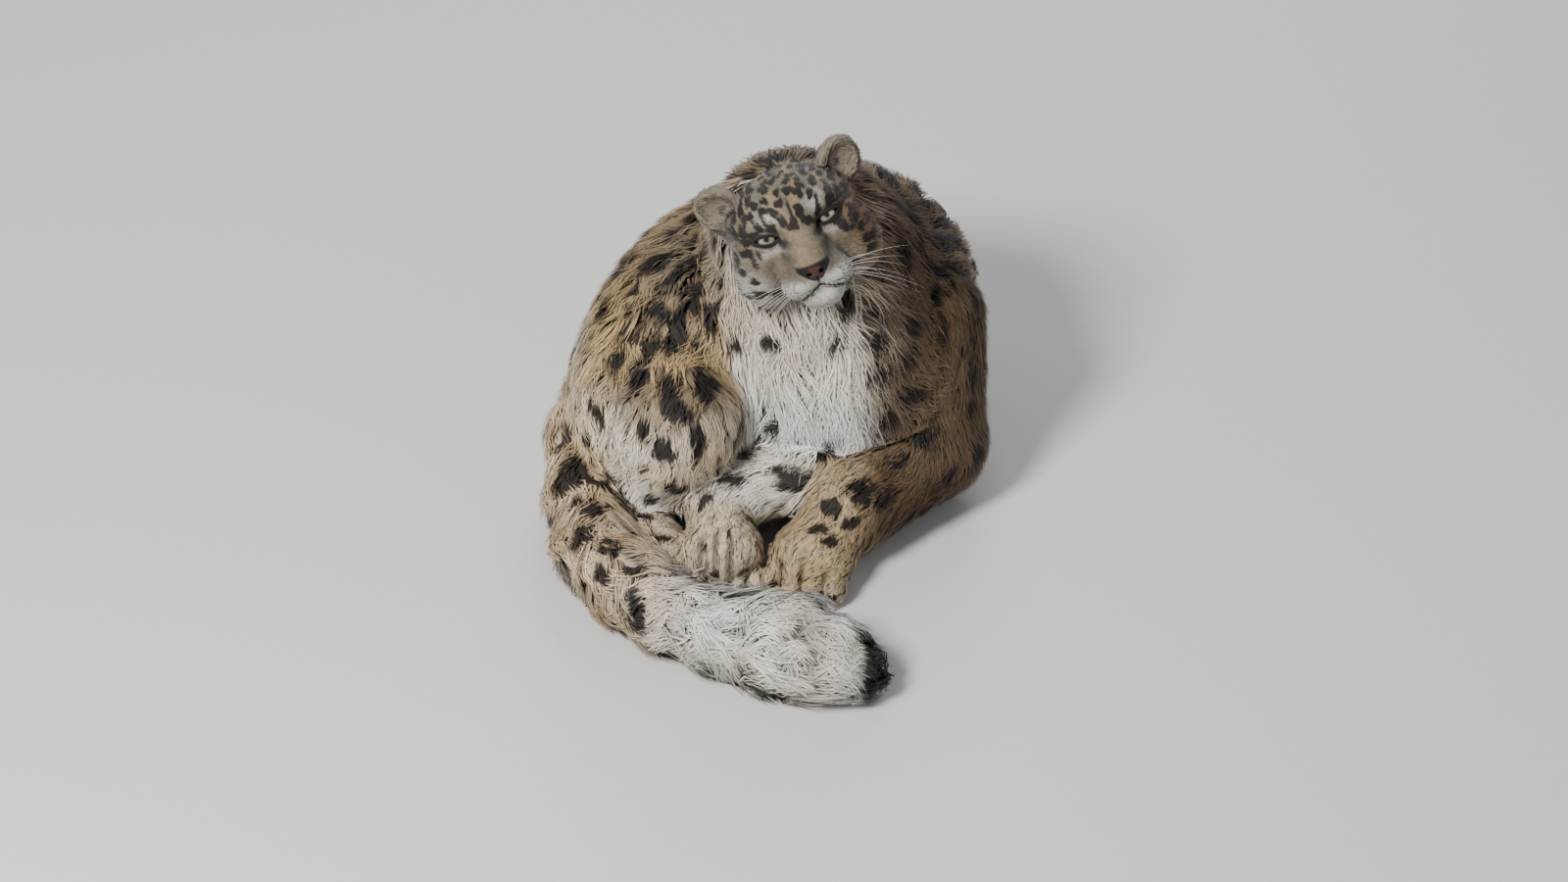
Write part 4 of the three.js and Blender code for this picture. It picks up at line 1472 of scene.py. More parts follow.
    def face_tones(self, points: Array, regions: Array) -> tuple[Array, Array]:
        """Give the head's colours and marks at points.

        Args:
            points: Places on the head.
            regions: Each place's region number.

        Returns:
            The tone without marks, and how dark the marks are.
        """
        head = self.anatomy.head
        local = head.axes.local(points)
        forward, up, left = local.T
        side = np.abs(left)
        tan = np.array(TAN, np.float32)
        tone = np.repeat(np.array([FACE_GREY], np.float32), len(points), 0)
        muzzle = smooth_step(4, 24, forward) * smooth_step(-43, -52, up)
        chin = smooth_step(-64, -72, up) * smooth_step(-20, 6, forward)
        brow = brow_share(side, up) * (forward > -30)
        under = blot(side - 36, up + 14, 17, 3.6) * (forward > -30)
        cheek = smooth_step(44, 66, side) * smooth_step(-18, -44, up)
        bridge_side_shade = blot(side - 21, up + 16, 7, 20) * (forward > -20)
        around = blot(side - 38, up - 1, 22, 11) * (forward > -30)
        crown = smooth_step(12, 34, up) * smooth_step(66, 40, side)
        # Painted shade beside the bridge of the nose and in the eye sockets, the sockets' share partly the
        # darker fur round the eyes; the crown a little darker.
        tone = tone * (1 - 0.55 * bridge_side_shade - 0.1 * crown - 0.3 * around)[:, None]
        lane = (0.5 + 0.5 * np.sin(left * 0.24 + 1.6 * np.sin(up * 0.11))) * crown
        tone = blend(tone, tan, 0.3 * lane)
        pale = np.clip(muzzle + chin + 0.75 * brow + 0.75 * under + 0.55 * cheek, 0, 1)
        tone = blend(tone, FACE_WHITE, pale)
        bridge = smooth_step(19, 9, side) * smooth_step(-8, 16, forward) * smooth_step(-52, -34, up)
        tone = blend(tone, 0.75 * tan, 0.22 * bridge)
        # The left cheek's golden brown: partly its own tan, partly painted shade for the side turned from the
        # light.
        gold = smooth_step(34, 64, left) * smooth_step(34, -6, up) * smooth_step(40, -10, forward)
        tone = blend(tone, CHEEK_GOLD_AND_SHADE, 0.9 * gold)
        dark = self.face_marks(local)
        ear = regions == Region.EAR.value
        if ear.any():
            tone[ear], dark[ear] = self.ear_tones(local[ear])
        return tone, dark

    def face_marks(self, local: Array) -> Array:
        """Give the head's dark marks: round the eyes, with painted shade in a crease under each, on the
        forehead, in whisker rows and at the lips.
        """
        head = self.anatomy.head
        forward, up, left = local.T
        side = np.abs(left)
        dark = np.maximum(self.eye_marks(local, 1), self.eye_marks(local, -1))
        frown = ridge(side - 9 - 0.12 * (up - 8), 2.4) * smooth_step(4, 9, up) * smooth_step(30, 22, up)
        between = ridge(side, 2.2) * smooth_step(12, 17, up) * smooth_step(40, 32, up)
        dark = np.maximum(dark, 0.85 * np.maximum(frown, between) * (forward > -30))
        pad = smooth_step(10, 18, forward) * smooth_step(11, 15, side) * smooth_step(-46, -49, up)
        pad *= smooth_step(-69, -64, up)
        dots = np.sin(forward * 0.8) * np.sin(up * 1.15)
        dark = np.maximum(dark, pad * smooth_step(0.6, 0.85, np.abs(dots)) * 0.75)
        lips = 1 - smooth_step(1.6, 3.4, np.abs(head.mouth_gap(local)))
        dark = np.maximum(dark, lips * smooth_step(-4, 4, forward) * smooth_step(46, 36, side))
        cleft = (1 - smooth_step(1.2, 2.6, side)) * (up > head.mouth_middle - 1) * (up < -44) * (forward > 40)
        return np.maximum(dark, cleft)

    def eye_marks(self, local: Array, side: int) -> Array:
        """Give the dark marks round one eye: lid rim, tear line, streaks over it, cheek bars, and painted
        shade in the crease under it.

        Args:
            local: Places in the head's frame.
            side: 1 for the left eye, -1 for the right one.

        Returns:
            How dark the marks are.
        """
        head = self.anatomy.head
        eye = head.eye_local(local, side)
        ahead, high, out = eye.T
        away = np.sqrt((eye * eye).sum(-1))
        ends = np.maximum(head.opening_gap(eye), np.abs(out) - head.opening[0])
        rim = (1 - smooth_step(3.6, 6.4, ends)) * (away < head.eye_radius + 12) * (ahead > -4)
        tear = blot(out + 19, high + 6.5, 5.5, 5.5) * (ahead > -6)
        streak = ridge(out + 8 - 0.1 * high, 2.7) * smooth_step(10, 13, high) * smooth_step(31, 26, high)
        above = ridge(high - 13 + 0.22 * out, 2.8) * smooth_step(0, 6, out) * smooth_step(33, 26, out)
        corner = ridge(high - 1, 2.6) * smooth_step(14, 18, out) * smooth_step(38, 31, out)
        # Painted shade in the crease under the eye.
        crease_shade = ridge(high + 13 - 0.15 * out, 1.8) * smooth_step(14, 6, np.abs(out - 2))
        dark = np.maximum.reduce([rim, tear, 0.9 * streak, 0.95 * above, 0.9 * corner, 0.45 * crease_shade])
        for place, low, top in CHEEK_BARS:
            bar = ridge(out - place - 0.12 * high, 2.2)
            bar *= smooth_step(low - 2, low + 2, high) * smooth_step(top + 2, top - 2, high)
            dark = np.maximum(dark, 0.9 * bar)
        return (dark * (ahead > -24)).astype(np.float32)

    def ear_tones(self, local: Array) -> tuple[Array, Array]:
        """Give the ears' colours: paler rims, a lining darkened as painted shade in the cup, painted shade in
        the pit, and dark round the back's pale middle.

        Args:
            local: Places in the head's frame.

        Returns:
            The tone without marks, and how dark the marks are.
        """
        head = self.anatomy.head
        grey, tan, cream = (np.array(c, np.float32) for c in (FACE_GREY, TAN, CREAM))
        rim = 0.2 * cream + 0.6 * grey
        # The cup's grey-tan lining, darkened as painted shade inside the ear.
        shaded_lining = (0.7 * grey + 0.3 * tan) * 0.4
        cup_half = [half - head.ear_wall for half in head.ear_half]
        cup_form = ball((head.ear_half[0] * 0.75, 0, 0), cup_half)
        tone = np.repeat(grey[None], len(local), 0)
        dark = np.zeros(len(local), np.float32)
        for side in (1, -1):
            here = local[:, 2] * side > 0
            cup = head.ear_axes(side).local(local)
            inside = cup_form(cup) < 0.9
            out = np.sqrt((cup[:, 1] / head.ear_half[1]) ** 2 + (cup[:, 2] / head.ear_half[2]) ** 2)
            edge = smooth_step(0.74, 0.96, out)
            tone[here] = tone[here] * (1 - edge[here, None]) + rim * edge[here, None]
            # Painted shade in the ear's pit.
            pit = np.sqrt(((cup[:, 1] + 9) / 19) ** 2 + ((cup[:, 2] * side - 7) / 14) ** 2)
            tone[here & inside] = shaded_lining
            dark[here & inside] = 0.95 * (1 - smooth_step(0.6, 1.15, pit[here & inside]))
            behind = here & ~inside & (cup[:, 0] < -2)
            dark[behind] = 0.85 * smooth_step(0.35, 0.8, out[behind])
        return tone, dark

    def nose_share(self, points: Array) -> Array:
        """Give how much a place belongs to the bare leather of the nose."""
        local = self.anatomy.head.axes.local(points)
        forward, up, left = local.T
        wide = 21 - 0.95 * np.maximum(0, -36 - up)
        across = 1 - smooth_step(wide - 1.5, wide + 1, np.abs(left))
        return across * smooth_step(48, 53, forward) * smooth_step(-54, -51, up) * smooth_step(-28, -32, up)

    def mark_skin(self, skin: bpy.types.Object) -> None:
        """Store the tones and marks on the skin."""
        tone, dark = self.tones(self.points, self.normals, self.regions)
        bare = self.nose_share(self.points)[:, None] * (self.regions == Region.HEAD.value)[:, None]
        local = self.anatomy.head.axes.local(self.points)
        wings = smooth_step(5.5, 9.5, np.abs(local[:, 2])) + smooth_step(-36, -32, local[:, 1])
        wings = np.clip(wings + smooth_step(-45, -50, local[:, 1]), 0, 1)
        leather = np.array(LEATHER, np.float32) * (1 - 0.93 * wings)[:, None]
        tone = tone * (1 - bare) + leather * bare
        dark = dark * (1 - bare[:, 0])
        add_values(skin, "tone", tone)
        strand = np.stack([dark, np.full(len(dark), 0.55), np.full(len(dark), 0.45)], 1)
        add_values(skin, "strand", strand)

    def sample_roots(self, region: Region, count: int, rng: np.random.Generator) -> Roots:
        """Choose places for tufts on one region, evenly by area.

        Args:
            region: The part of the coat.
            count: How many tufts.
            rng: The source of chance.

        Returns:
            The roots.
        """
        mine = np.flatnonzero(self.regions[self.quads[:, 0]] == region.value)
        quads = self.quads[mine]
        corners = self.points[quads]
        cross = np.cross(corners[:, 2] - corners[:, 0], corners[:, 3] - corners[:, 1])
        area = np.linalg.norm(cross, axis=1)
        steps = np.cumsum(area)
        pick = np.searchsorted(steps, (np.arange(count) + rng.random(count)) / count * steps[-1])
        pick = np.minimum(pick, len(mine) - 1)
        s, t = rng.random((2, count, 1)).astype(np.float32)
        weights = np.concatenate([(1 - s) * (1 - t), s * (1 - t), s * t, (1 - s) * t], 1)

        def spread(values: Array) -> Array:
            """Give values between a quad's corners."""
            return (values * weights[..., None]).sum(1)

        at = spread(corners[pick])
        normal = unit(spread(self.normals[quads[pick]]))
        unwrap = spread(self.unwrap[mine[pick]])
        numbers = np.full(count, region.value)
        flow = self.lie.flow(at, normal, numbers)
        return Roots(at, normal, flow, numbers, unwrap)

    def keeps(self, roots: Roots) -> Array:
        """Say which roots may grow a tuft: not on bare parts, nor where another part covers them."""
        at = roots.at + roots.normal * 4
        free = np.ones(len(at), bool)
        head = self.anatomy.head
        if roots.region[0] >= Region.HEAD.value:
            free &= self.body_shell.distance(at) > 2
            local = head.axes.local(roots.at)
            for side in (1, -1):
                eye = head.eye_local(local, side)
                ends = np.maximum(head.opening_gap(eye), np.abs(eye[:, 2]) - head.opening[0])
                near = (eye * eye).sum(-1) < (head.eye_radius + 10) ** 2
                free &= ~((ends < 2.4) & near)
            free &= self.nose_share(roots.at) < 0.3
            free &= ~((np.abs(head.mouth_gap(local)) < 1.6) & (local[:, 0] > 0))
        else:
            free &= self.head_shell.distance(at) > 3
            free &= ~((roots.at[:, 2] < 6) & (roots.normal[:, 2] < -0.4))
        return free

    def shape(self, roots: Roots, coat: Coat, rng: np.random.Generator) -> tuple[Array, Array, Array, Array]:
        """Give each tuft's own length, lift, width and curl."""
        count = len(roots.at)
        length = np.full(count, coat.length, np.float32)
        lift = np.full(count, coat.lift, np.float32)
        width = np.full(count, coat.width, np.float32)
        curl = np.full(count, coat.curl, np.float32)
        chest = chest_share(roots.at, roots.normal)
        if roots.region[0] in (Region.TRUNK.value, Region.NECK.value):
            length *= 1 + 0.5 * chest
            curl *= 1 + 0.1 * chest
            width *= 1 - 0.15 * chest
            length *= 1 + chest * rng.uniform(-0.3, 0.3, count)
        if roots.region[0] == Region.TAIL.value:
            tip = smooth_step(-150, -20, roots.at[:, 0])
            end = smooth_step(70, 120, roots.at[:, 0])
            lift *= rng.uniform(0.6, 1.15, count) * (1 + 0.5 * tip)
            length *= (1 + 0.2 * tip) * (1 - 0.5 * end)
            curl *= 1 + 0.5 * tip
        if roots.region[0] == Region.LIMB.value:
            upper = smooth_step(260, 360, roots.at[:, 1])
            length *= 1 + 0.7 * upper
            lift *= 1 + 0.4 * upper
            width *= 1 + 0.2 * upper
        if roots.region[0] >= Region.HEAD.value:
            local = self.anatomy.head.axes.local(roots.at)
            forward, up, left = local.T
            back = smooth_step(10, -60, forward)
            cheek = smooth_step(38, 66, np.abs(left)) * smooth_step(30, -30, up)
            cheek *= smooth_step(16, -30, forward)
            jaw = smooth_step(-58, -80, up) * smooth_step(20, -30, forward)
            grown = 1 + 0.9 * back + 3.4 * np.maximum(cheek, jaw)
            muzzle = smooth_step(0, 30, forward)
            grown *= 1 - 0.45 * muzzle
            around_eye = np.zeros(count, np.float32)
            for side in (1, -1):
                eye = self.anatomy.head.eye_local(local, side)
                around_eye = np.maximum(around_eye, 1 - smooth_step(18, 32, np.sqrt((eye * eye).sum(-1))))
            grown *= 1 - 0.45 * around_eye
            length *= grown
            lift *= np.clip(grown, 0.5, 3.8)
            width *= np.clip(grown, 0.7, 1.8)
            curl += 1.2 * np.maximum(cheek, jaw)
        length *= rng.uniform(0.8, 1.15, count)
        lift *= rng.uniform(0.6, 1.12, count)
        width *= rng.uniform(0.6, 1.25, count)
        return length, lift, width, curl

    def grow(self, region: Region) -> list[bpy.types.Object]:
        """Grow one region's tufts.

        Args:
            region: The part of the coat.

        Returns:
            The pieces, each under the limit of triangles.
        """
        coat = COATS[region]
        rng = np.random.default_rng(self.seed + region.value)
        mine = np.flatnonzero(self.regions[self.quads[:, 0]] == region.value)
        corners = self.points[self.quads[mine]]
        cross = np.cross(corners[:, 2] - corners[:, 0], corners[:, 3] - corners[:, 1])
        area = np.linalg.norm(cross, axis=1).sum() / 2 * 1e-6
        roots = self.sample_roots(region, int(area * coat.count), rng)
        roots = roots.where(self.keeps(roots))
        each = coat.rings * 6
        pieces = []
        step = TRIANGLE_LIMIT // each
        parts = math.ceil(len(roots.at) / step)
        order = np.argsort(roots.at[:, 0], kind="stable")
        for number, chosen in enumerate(np.array_split(order, parts)):
            piece = self.tuft_mesh(f"coat_{region.name.lower()}_{number + 1}", roots.where(chosen), coat, rng)
            pieces.append(piece)
        LOG.info("%s: %.3f m2, %d tufts in %d pieces", region.name, area, len(roots.at), parts)
        return pieces

    def over_head(self, points: Array) -> Array:
        """Give how high points are over the nearer of the head's and the body's skin."""
        return np.minimum(self.head_shell.distance(points), self.body_shell.distance(points))

    def ways(self, roots: Roots, number: Array, rng: np.random.Generator) -> Array:
        """Turn the lie of the coat a little, in slow waves, by lock and by tuft."""
        x, y, z = roots.at.T * 0.021
        drift = 0.2 * np.sin(2.1 * x + 1.3 * z) + 0.16 * np.sin(1.7 * y - 2.3 * z + 1)
        twist = drift + (number - 0.5) * coat_turn(roots.region[0]) + rng.normal(0, 0.13, len(number))
        side = np.cross(roots.normal, roots.flow)
        return roots.flow * np.cos(twist)[:, None] + side * np.sin(twist)[:, None]

    def path(self, roots: Roots, coat: Coat, rng: np.random.Generator) -> tuple[Array, Array, Array, Array]:
        """Lay each tuft's middle line over the skin.

        Args:
            roots: Where the tufts grow.
            coat: How this part of the coat grows.
            rng: The source of chance.

        Returns:
            The points of the lines, the skin's normals there, the widths, and a shade for each tuft.
        """
        length, lift, width, curl = self.shape(roots, coat, rng)
        centre, number = worley(roots.at, coat.clump, 3 + roots.region[0])
        pull = centre - roots.at
        pull -= (pull * roots.normal).sum(1, keepdims=True) * roots.normal
        pull *= 1 + 0.45 * chest_share(roots.at, roots.normal)[:, None]
        way = self.ways(roots, number, rng)
        side = np.cross(roots.normal, way)
        length = length * (0.84 + 0.32 * ((number * 7.3) % 1))
        on_head = roots.region[0] >= Region.HEAD.value
        over = self.over_head if on_head else self.body_shell.distance
        step = self.head_step if on_head else self.foot_step
        if roots.region[0] < Region.LIMB.value:
            for share in (0.5, 1.0):
                reached = self.anatomy.regions(roots.at + way * (length * share)[:, None])
                length = np.where(reached >= Region.LIMB.value, length * 0.7, length)
        phase = number * 6.28
        lines, ups = [roots.at - roots.normal * 1.5], [roots.normal]
        for s in (*RING_PLACES[coat.rings], 1.0):
            wave = np.sin(s * 5.2 + phase) * curl * s * (1.15 - 0.3 * s)
            place = roots.at + way * (length * s)[:, None] + pull * (coat.pull * s) + side * wave[:, None]
            height = lift * (s**0.75) * (0.82 + 0.3 * ((number * 3.1) % 1))
            height *= 1 + 0.25 * np.sin(s * 6.1 + phase * 1.7) * s
            height = TUFT_REACH * np.tanh(height / TUFT_REACH)
            for _ in range(3):
                place[:, 2] = np.maximum(place[:, 2], FLOOR_CLEARANCE)
                up = slope(over, place, step)
                gap = np.clip(height - over(place), -16, 16)
                place = place + up * gap[:, None]
            place[:, 2] = np.maximum(place[:, 2], FLOOR_CLEARANCE)
            lines.append(place)
            ups.append(up)
        shade = 0.5 * number + 0.5 * rng.random(len(number))
        return np.stack(lines, 1), np.stack(ups, 1), width, shade

    @staticmethod
    def tuft_faces(rings: int) -> Array:
        """Give one closed tuft's triangles: a root point, rings of three points and a tip point."""
        faces = []
        last = 1 + (rings - 1) * 3
        for k in range(3):
            turn = (k + 1) % 3
            faces.append((1 + k, 1 + turn, 0))
            faces.append((last + turn, last + k, last + 3))
            for ring in range(rings - 1):
                a, b = 1 + ring * 3 + turn, 1 + ring * 3 + k
                faces += [(a, b, b + 3), (a, b + 3, a + 3)]
        return np.array(faces)

    def tuft_mesh(self, name: str, roots: Roots, coat: Coat, rng: np.random.Generator) -> bpy.types.Object:
        """Make one piece of the coat.

        Args:
            name: The piece's name.
            roots: Where its tufts grow.
            coat: How this part of the coat grows.
            rng: The source of chance.

        Returns:
            The piece, with its colours and its unwrap.
        """
        lines, ups, width, shade = self.path(roots, coat, rng)
        count, rings = len(roots.at), coat.rings
        tangent = unit(lines[:, 2:] - lines[:, :-2])
        across = unit(np.cross(tangent, ups[:, 1:-1]))
        half = (width[:, None] * np.array(RING_WIDTHS[rings], np.float32))[..., None] / 2
        base, up = lines[:, 1:-1], ups[:, 1:-1]
        sides = np.stack([base + across * half, base + up * half * 0.5, base - across * half], 2)
        points = np.concatenate([lines[:, :1], sides.reshape(count, rings * 3, 3), lines[:, -1:]], 1)
        points[..., 2] = np.maximum(points[..., 2], FLOOR_CLEARANCE)
        lean = across * 0.35
        soft = np.stack([up + lean, up, up - lean], 2).reshape(count, rings * 3, 3)
        normals = unit(np.concatenate([ups[:, :1], soft, ups[:, -1:]], 1))
        size = rings * 3 + 2
        pattern = self.tuft_faces(rings)
        triangles = (pattern[None] + (np.arange(count) * size)[:, None, None]).reshape(-1, 3)
        metres = self.to_metres(points.reshape(-1, 3))
        piece = make_mesh(name, metres, triangles, self.coat_material, normals.reshape(-1, 3))
        steps = np.concatenate([[0.0], np.repeat(RING_PLACES[rings], 3), [1.0]]).astype(np.float32)
        under = lines - ups * UNDER_LINE
        seen = [self.tones(under[:, ring], ups[:, ring], roots.region) for ring in range(1, rings + 2)]
        tone = seen[rings // 2][0]
        dark = np.stack([marks for _, marks in seen], 1)
        mark = np.concatenate([dark[:, :1], np.repeat(dark[:, :-1], 3, 1), dark[:, -1:]], 1)
        add_values(piece, "tone", np.repeat(tone, size, 0))
        strand = np.stack([mark.ravel(), np.tile(steps, count), np.repeat(shade, size)], 1)
        add_values(piece, "strand", strand)
        spread = np.concatenate([[0.5], np.tile([0.0, 0.5, 1.0], rings), [0.5]])
        patch = (np.stack([spread, steps], 1) - 0.5) * UNWRAP_PATCH
        corners = (roots.unwrap[:, None] + patch[pattern.ravel()][None]).reshape(-1, 2)
        add_unwrap(piece, corners)
        return piece


@dataclass
class Face:
    """The eyes and the whiskers."""

    head: Head
    shift: Array
    eye_material: bpy.types.Material
    whisker_material: bpy.types.Material
    rings: int = 40
    sides: int = 56
    gaze: tuple[float, float, float] = (0.97, 0.16, 0.0)
    whisker_count: int = 8
    whisker_rows: int = 4
    whisker_steps: int = 9
    whisker_sides: int = 5
    whisker_radius: float = 0.2
    whisker_length: tuple[float, float] = (46, 88)
    whisker_drop: tuple[float, float] = (14, 30)
    seed: int = 9

    def build_eye(self, side: int) -> bpy.types.Object:
        """Make one eye with its bulging cornea.

        Args:
            side: 1 for the left eye, -1 for the right one.

        Returns:
            The eye.
        """
        axes = self.head.axes
        out = axes.direction(self.gaze)
        across = unit(np.cross(out, axes.direction((0, 1, 0))))
        up = np.cross(across, out)
        centre = axes.point((self.head.eye[0], self.head.eye[1], self.head.eye[2] * side))
        polar = np.linspace(0, math.pi, self.rings + 1)[1:-1]
        turn = np.arange(self.sides) / self.sides * 2 * math.pi
        bulge = 1 + 0.035 * np.exp(-((polar / 0.55) ** 2))
        radius = (self.head.eye_radius - 0.3) * bulge
        ring = np.cos(turn)[None, :, None] * across + np.sin(turn)[None, :, None] * up
        points = np.cos(polar)[:, None, None] * out + np.sin(polar)[:, None, None] * ring
        points = points * radius[:, None, None]
        poles = np.stack([out * radius[0], -out * radius[-1]])
        points = np.concatenate([points.reshape(-1, 3), poles]) + centre
        faces = []
        rows = self.rings - 1
        for i in range(rows - 1):
            for j in range(self.sides):
                k = (j + 1) % self.sides
                a, b = i * self.sides + j, i * self.sides + k
                c, d = b + self.sides, a + self.sides
                faces += [(a, d, b), (b, d, c)]
        for j in range(self.sides):
            k = (j + 1) % self.sides
            faces.append((rows * self.sides, j, k))
            faces.append((rows * self.sides + 1, (rows - 1) * self.sides + k, (rows - 1) * self.sides + j))
        name = "eye_ball_left" if side > 0 else "eye_ball_right"
        piece = make_mesh(name, (points + self.shift) * MM, np.array(faces), self.eye_material)
        angle = np.concatenate([np.repeat(polar, self.sides), [0, math.pi]])
        add_values(piece, "gaze", angle)
        spokes = np.stack([np.cos(turn), np.sin(turn), np.zeros(self.sides)], 1)
        spokes = np.concatenate([np.tile(spokes, (rows, 1)), np.zeros((2, 3))])
        add_values(piece, "spoke", spokes)
        return piece

    def build_whiskers(self) -> bpy.types.Object:
        """Make the whiskers as thin tapered strands that arch out of the pads and droop.

        Returns:
            The whiskers as one piece.
        """
        rng = np.random.default_rng(self.seed)
        strands = []
        for side in (1, -1):
            for number in range(self.whisker_count):
                row, column = number % self.whisker_rows, number // self.whisker_rows
                root = self.whisker_root(row, column, side)
                way = self.head.axes.direction((0.28 - 0.1 * column, 0.12 - 0.16 * row, side))
                length = rng.uniform(*self.whisker_length)
                strands.append(self.strand(root, way, length, rng.uniform(*self.whisker_drop)))
        faces = []
        for number in range(len(strands)):
            base = number * self.whisker_steps * self.whisker_sides
            for i in range(self.whisker_steps - 1):
                for k in range(self.whisker_sides):
                    a = base + i * self.whisker_sides + k
                    b = base + i * self.whisker_sides + (k + 1) % self.whisker_sides
                    faces.append((a, b, b + self.whisker_sides, a + self.whisker_sides))
        points = (np.concatenate(strands) + self.shift) * MM
        return make_mesh("whiskers", points, np.array(faces), self.whisker_material)

    def whisker_root(self, row: int, column: int, side: int) -> Array:
        """Find where a whisker leaves the skin of its pad.

        Args:
            row: Its row, from the top.
            column: Its column, from the front.
            side: 1 for the left pad, -1 for the right one.

        Returns:
            The root's place.
        """
        inside = self.head.axes.point((24 - 4 * column, -49 - 5 * row, 20 * side))
        ray = self.head.axes.direction((0.75 - 0.12 * column, 0.0, side * (0.75 + 0.1 * column)))
        skin = self.head.skin()
        root = inside + ray * 10
        for _ in range(12):
            root = root - ray * skin(root[None])[0] * 0.9
        return root

    def strand(self, root: Array, way: Array, length: float, drop: float) -> Array:
        """Lay one whisker's rings, thinner towards its tip.

        Args:
            root: Where it starts.
            way: The direction it leaves in.
            length: Its length in millimetres.
            drop: How far its tip droops.

        Returns:
            Its points, ring by ring.
        """
        across = unit(np.cross(way, np.array([0, 0, 1], np.float32)))
        above = np.cross(across, way)
        points = []
        for i in range(self.whisker_steps):
            s = i / (self.whisker_steps - 1)
            place = root + way * length * s + np.array([0, 0, -drop * s * s], np.float32)
            radius = self.whisker_radius * (1 - 0.9 * s)
            for k in range(self.whisker_sides):
                turn = k / self.whisker_sides * 2 * math.pi
                points.append(place + radius * (math.cos(turn) * across + math.sin(turn) * above))
        return np.array(points)


@dataclass(frozen=True)
class Studio:
    """The floor, the lights and the camera at the photograph's own angle."""

    elevation: float = 38.0
    distance: float = 12.0
    lens: float = 235.0
    look_at: tuple[float, float, float] = (29, 250, 184)
    floor_half: float = 9.0
    aim: tuple[float, float, float] = (0, 0, 0.2)
    lights: tuple[tuple[str, tuple[float, float, float], float, float], ...] = (
        ("key", (-1.6, -2.1, 2.9), 1.0, 215),
        ("fill", (2.6, -1.6, 1.8), 2.4, 14),
        ("back", (0.4, 2.8, 2.6), 1.8, 60),
    )
    sky: tuple[float, float, float, float] = (0.86, 0.9, 1.0, 1)
    sky_strength: float = 0.34

    def build(self, shift: Array) -> None:
        """Make the floor, the lights and the camera.

        Args:
            shift: What turns the forms' millimetres into the model's.
        """
        floor = PlainFinish("floor_matte", (0.62, 0.61, 0.59), 0.85, 0.02).build()
        half = self.floor_half
        corners = np.array([[-half, -half, 0], [half, -half, 0], [half, half, 0], [-half, half, 0]])
        make_mesh("floor", corners, np.array([[0, 1, 2, 3]]), floor)
        for name, place, size, power in self.lights:
            light = bpy.data.lights.new(name, "AREA")
            light.shape = "DISK"
            light.size = size
            light.energy = power
            lamp = bpy.data.objects.new(name, light)
            lamp.location = place
            lamp.rotation_euler = (Vector(self.aim) - Vector(place)).to_track_quat("-Z", "Y").to_euler()
            bpy.context.collection.objects.link(lamp)
        world = bpy.data.worlds.new("studio")
        world.use_nodes = True
        world.node_tree.nodes["Background"].inputs["Color"].default_value = self.sky
        world.node_tree.nodes["Background"].inputs["Strength"].default_value = self.sky_strength
        bpy.context.scene.world = world
        target = Vector((np.array(self.look_at) + shift) * MM)
        lift = math.radians(self.elevation)
        away = Vector((0, -math.cos(lift), math.sin(lift)))
        camera = bpy.data.cameras.new("camera")
        camera.lens = self.lens
        camera.sensor_width = 36
        camera.clip_end = 60
        view = bpy.data.objects.new("camera", camera)
        view.location = target + away * self.distance
        view.rotation_euler = (-away).to_track_quat("-Z", "Y").to_euler()
        bpy.context.collection.objects.link(view)
        bpy.context.scene.camera = view


# Picture places are in the photograph's 1600 by 900 frame, at PHOTO_SCALE pixels a millimetre of the animal.
PHOTO_SCALE = 0.87
PHOTO_ZERO = (775.0, 710.0)
MARK_GROWTH = 1.06
# How far the coat's outside stands over the skin, for its lift, and the least slant to the view that counts.
COAT_HEIGHT = 0.75
LEAST_FACING = 0.4
# How far before the picture a ray starts, in millimetres.
RAY_START = 2000
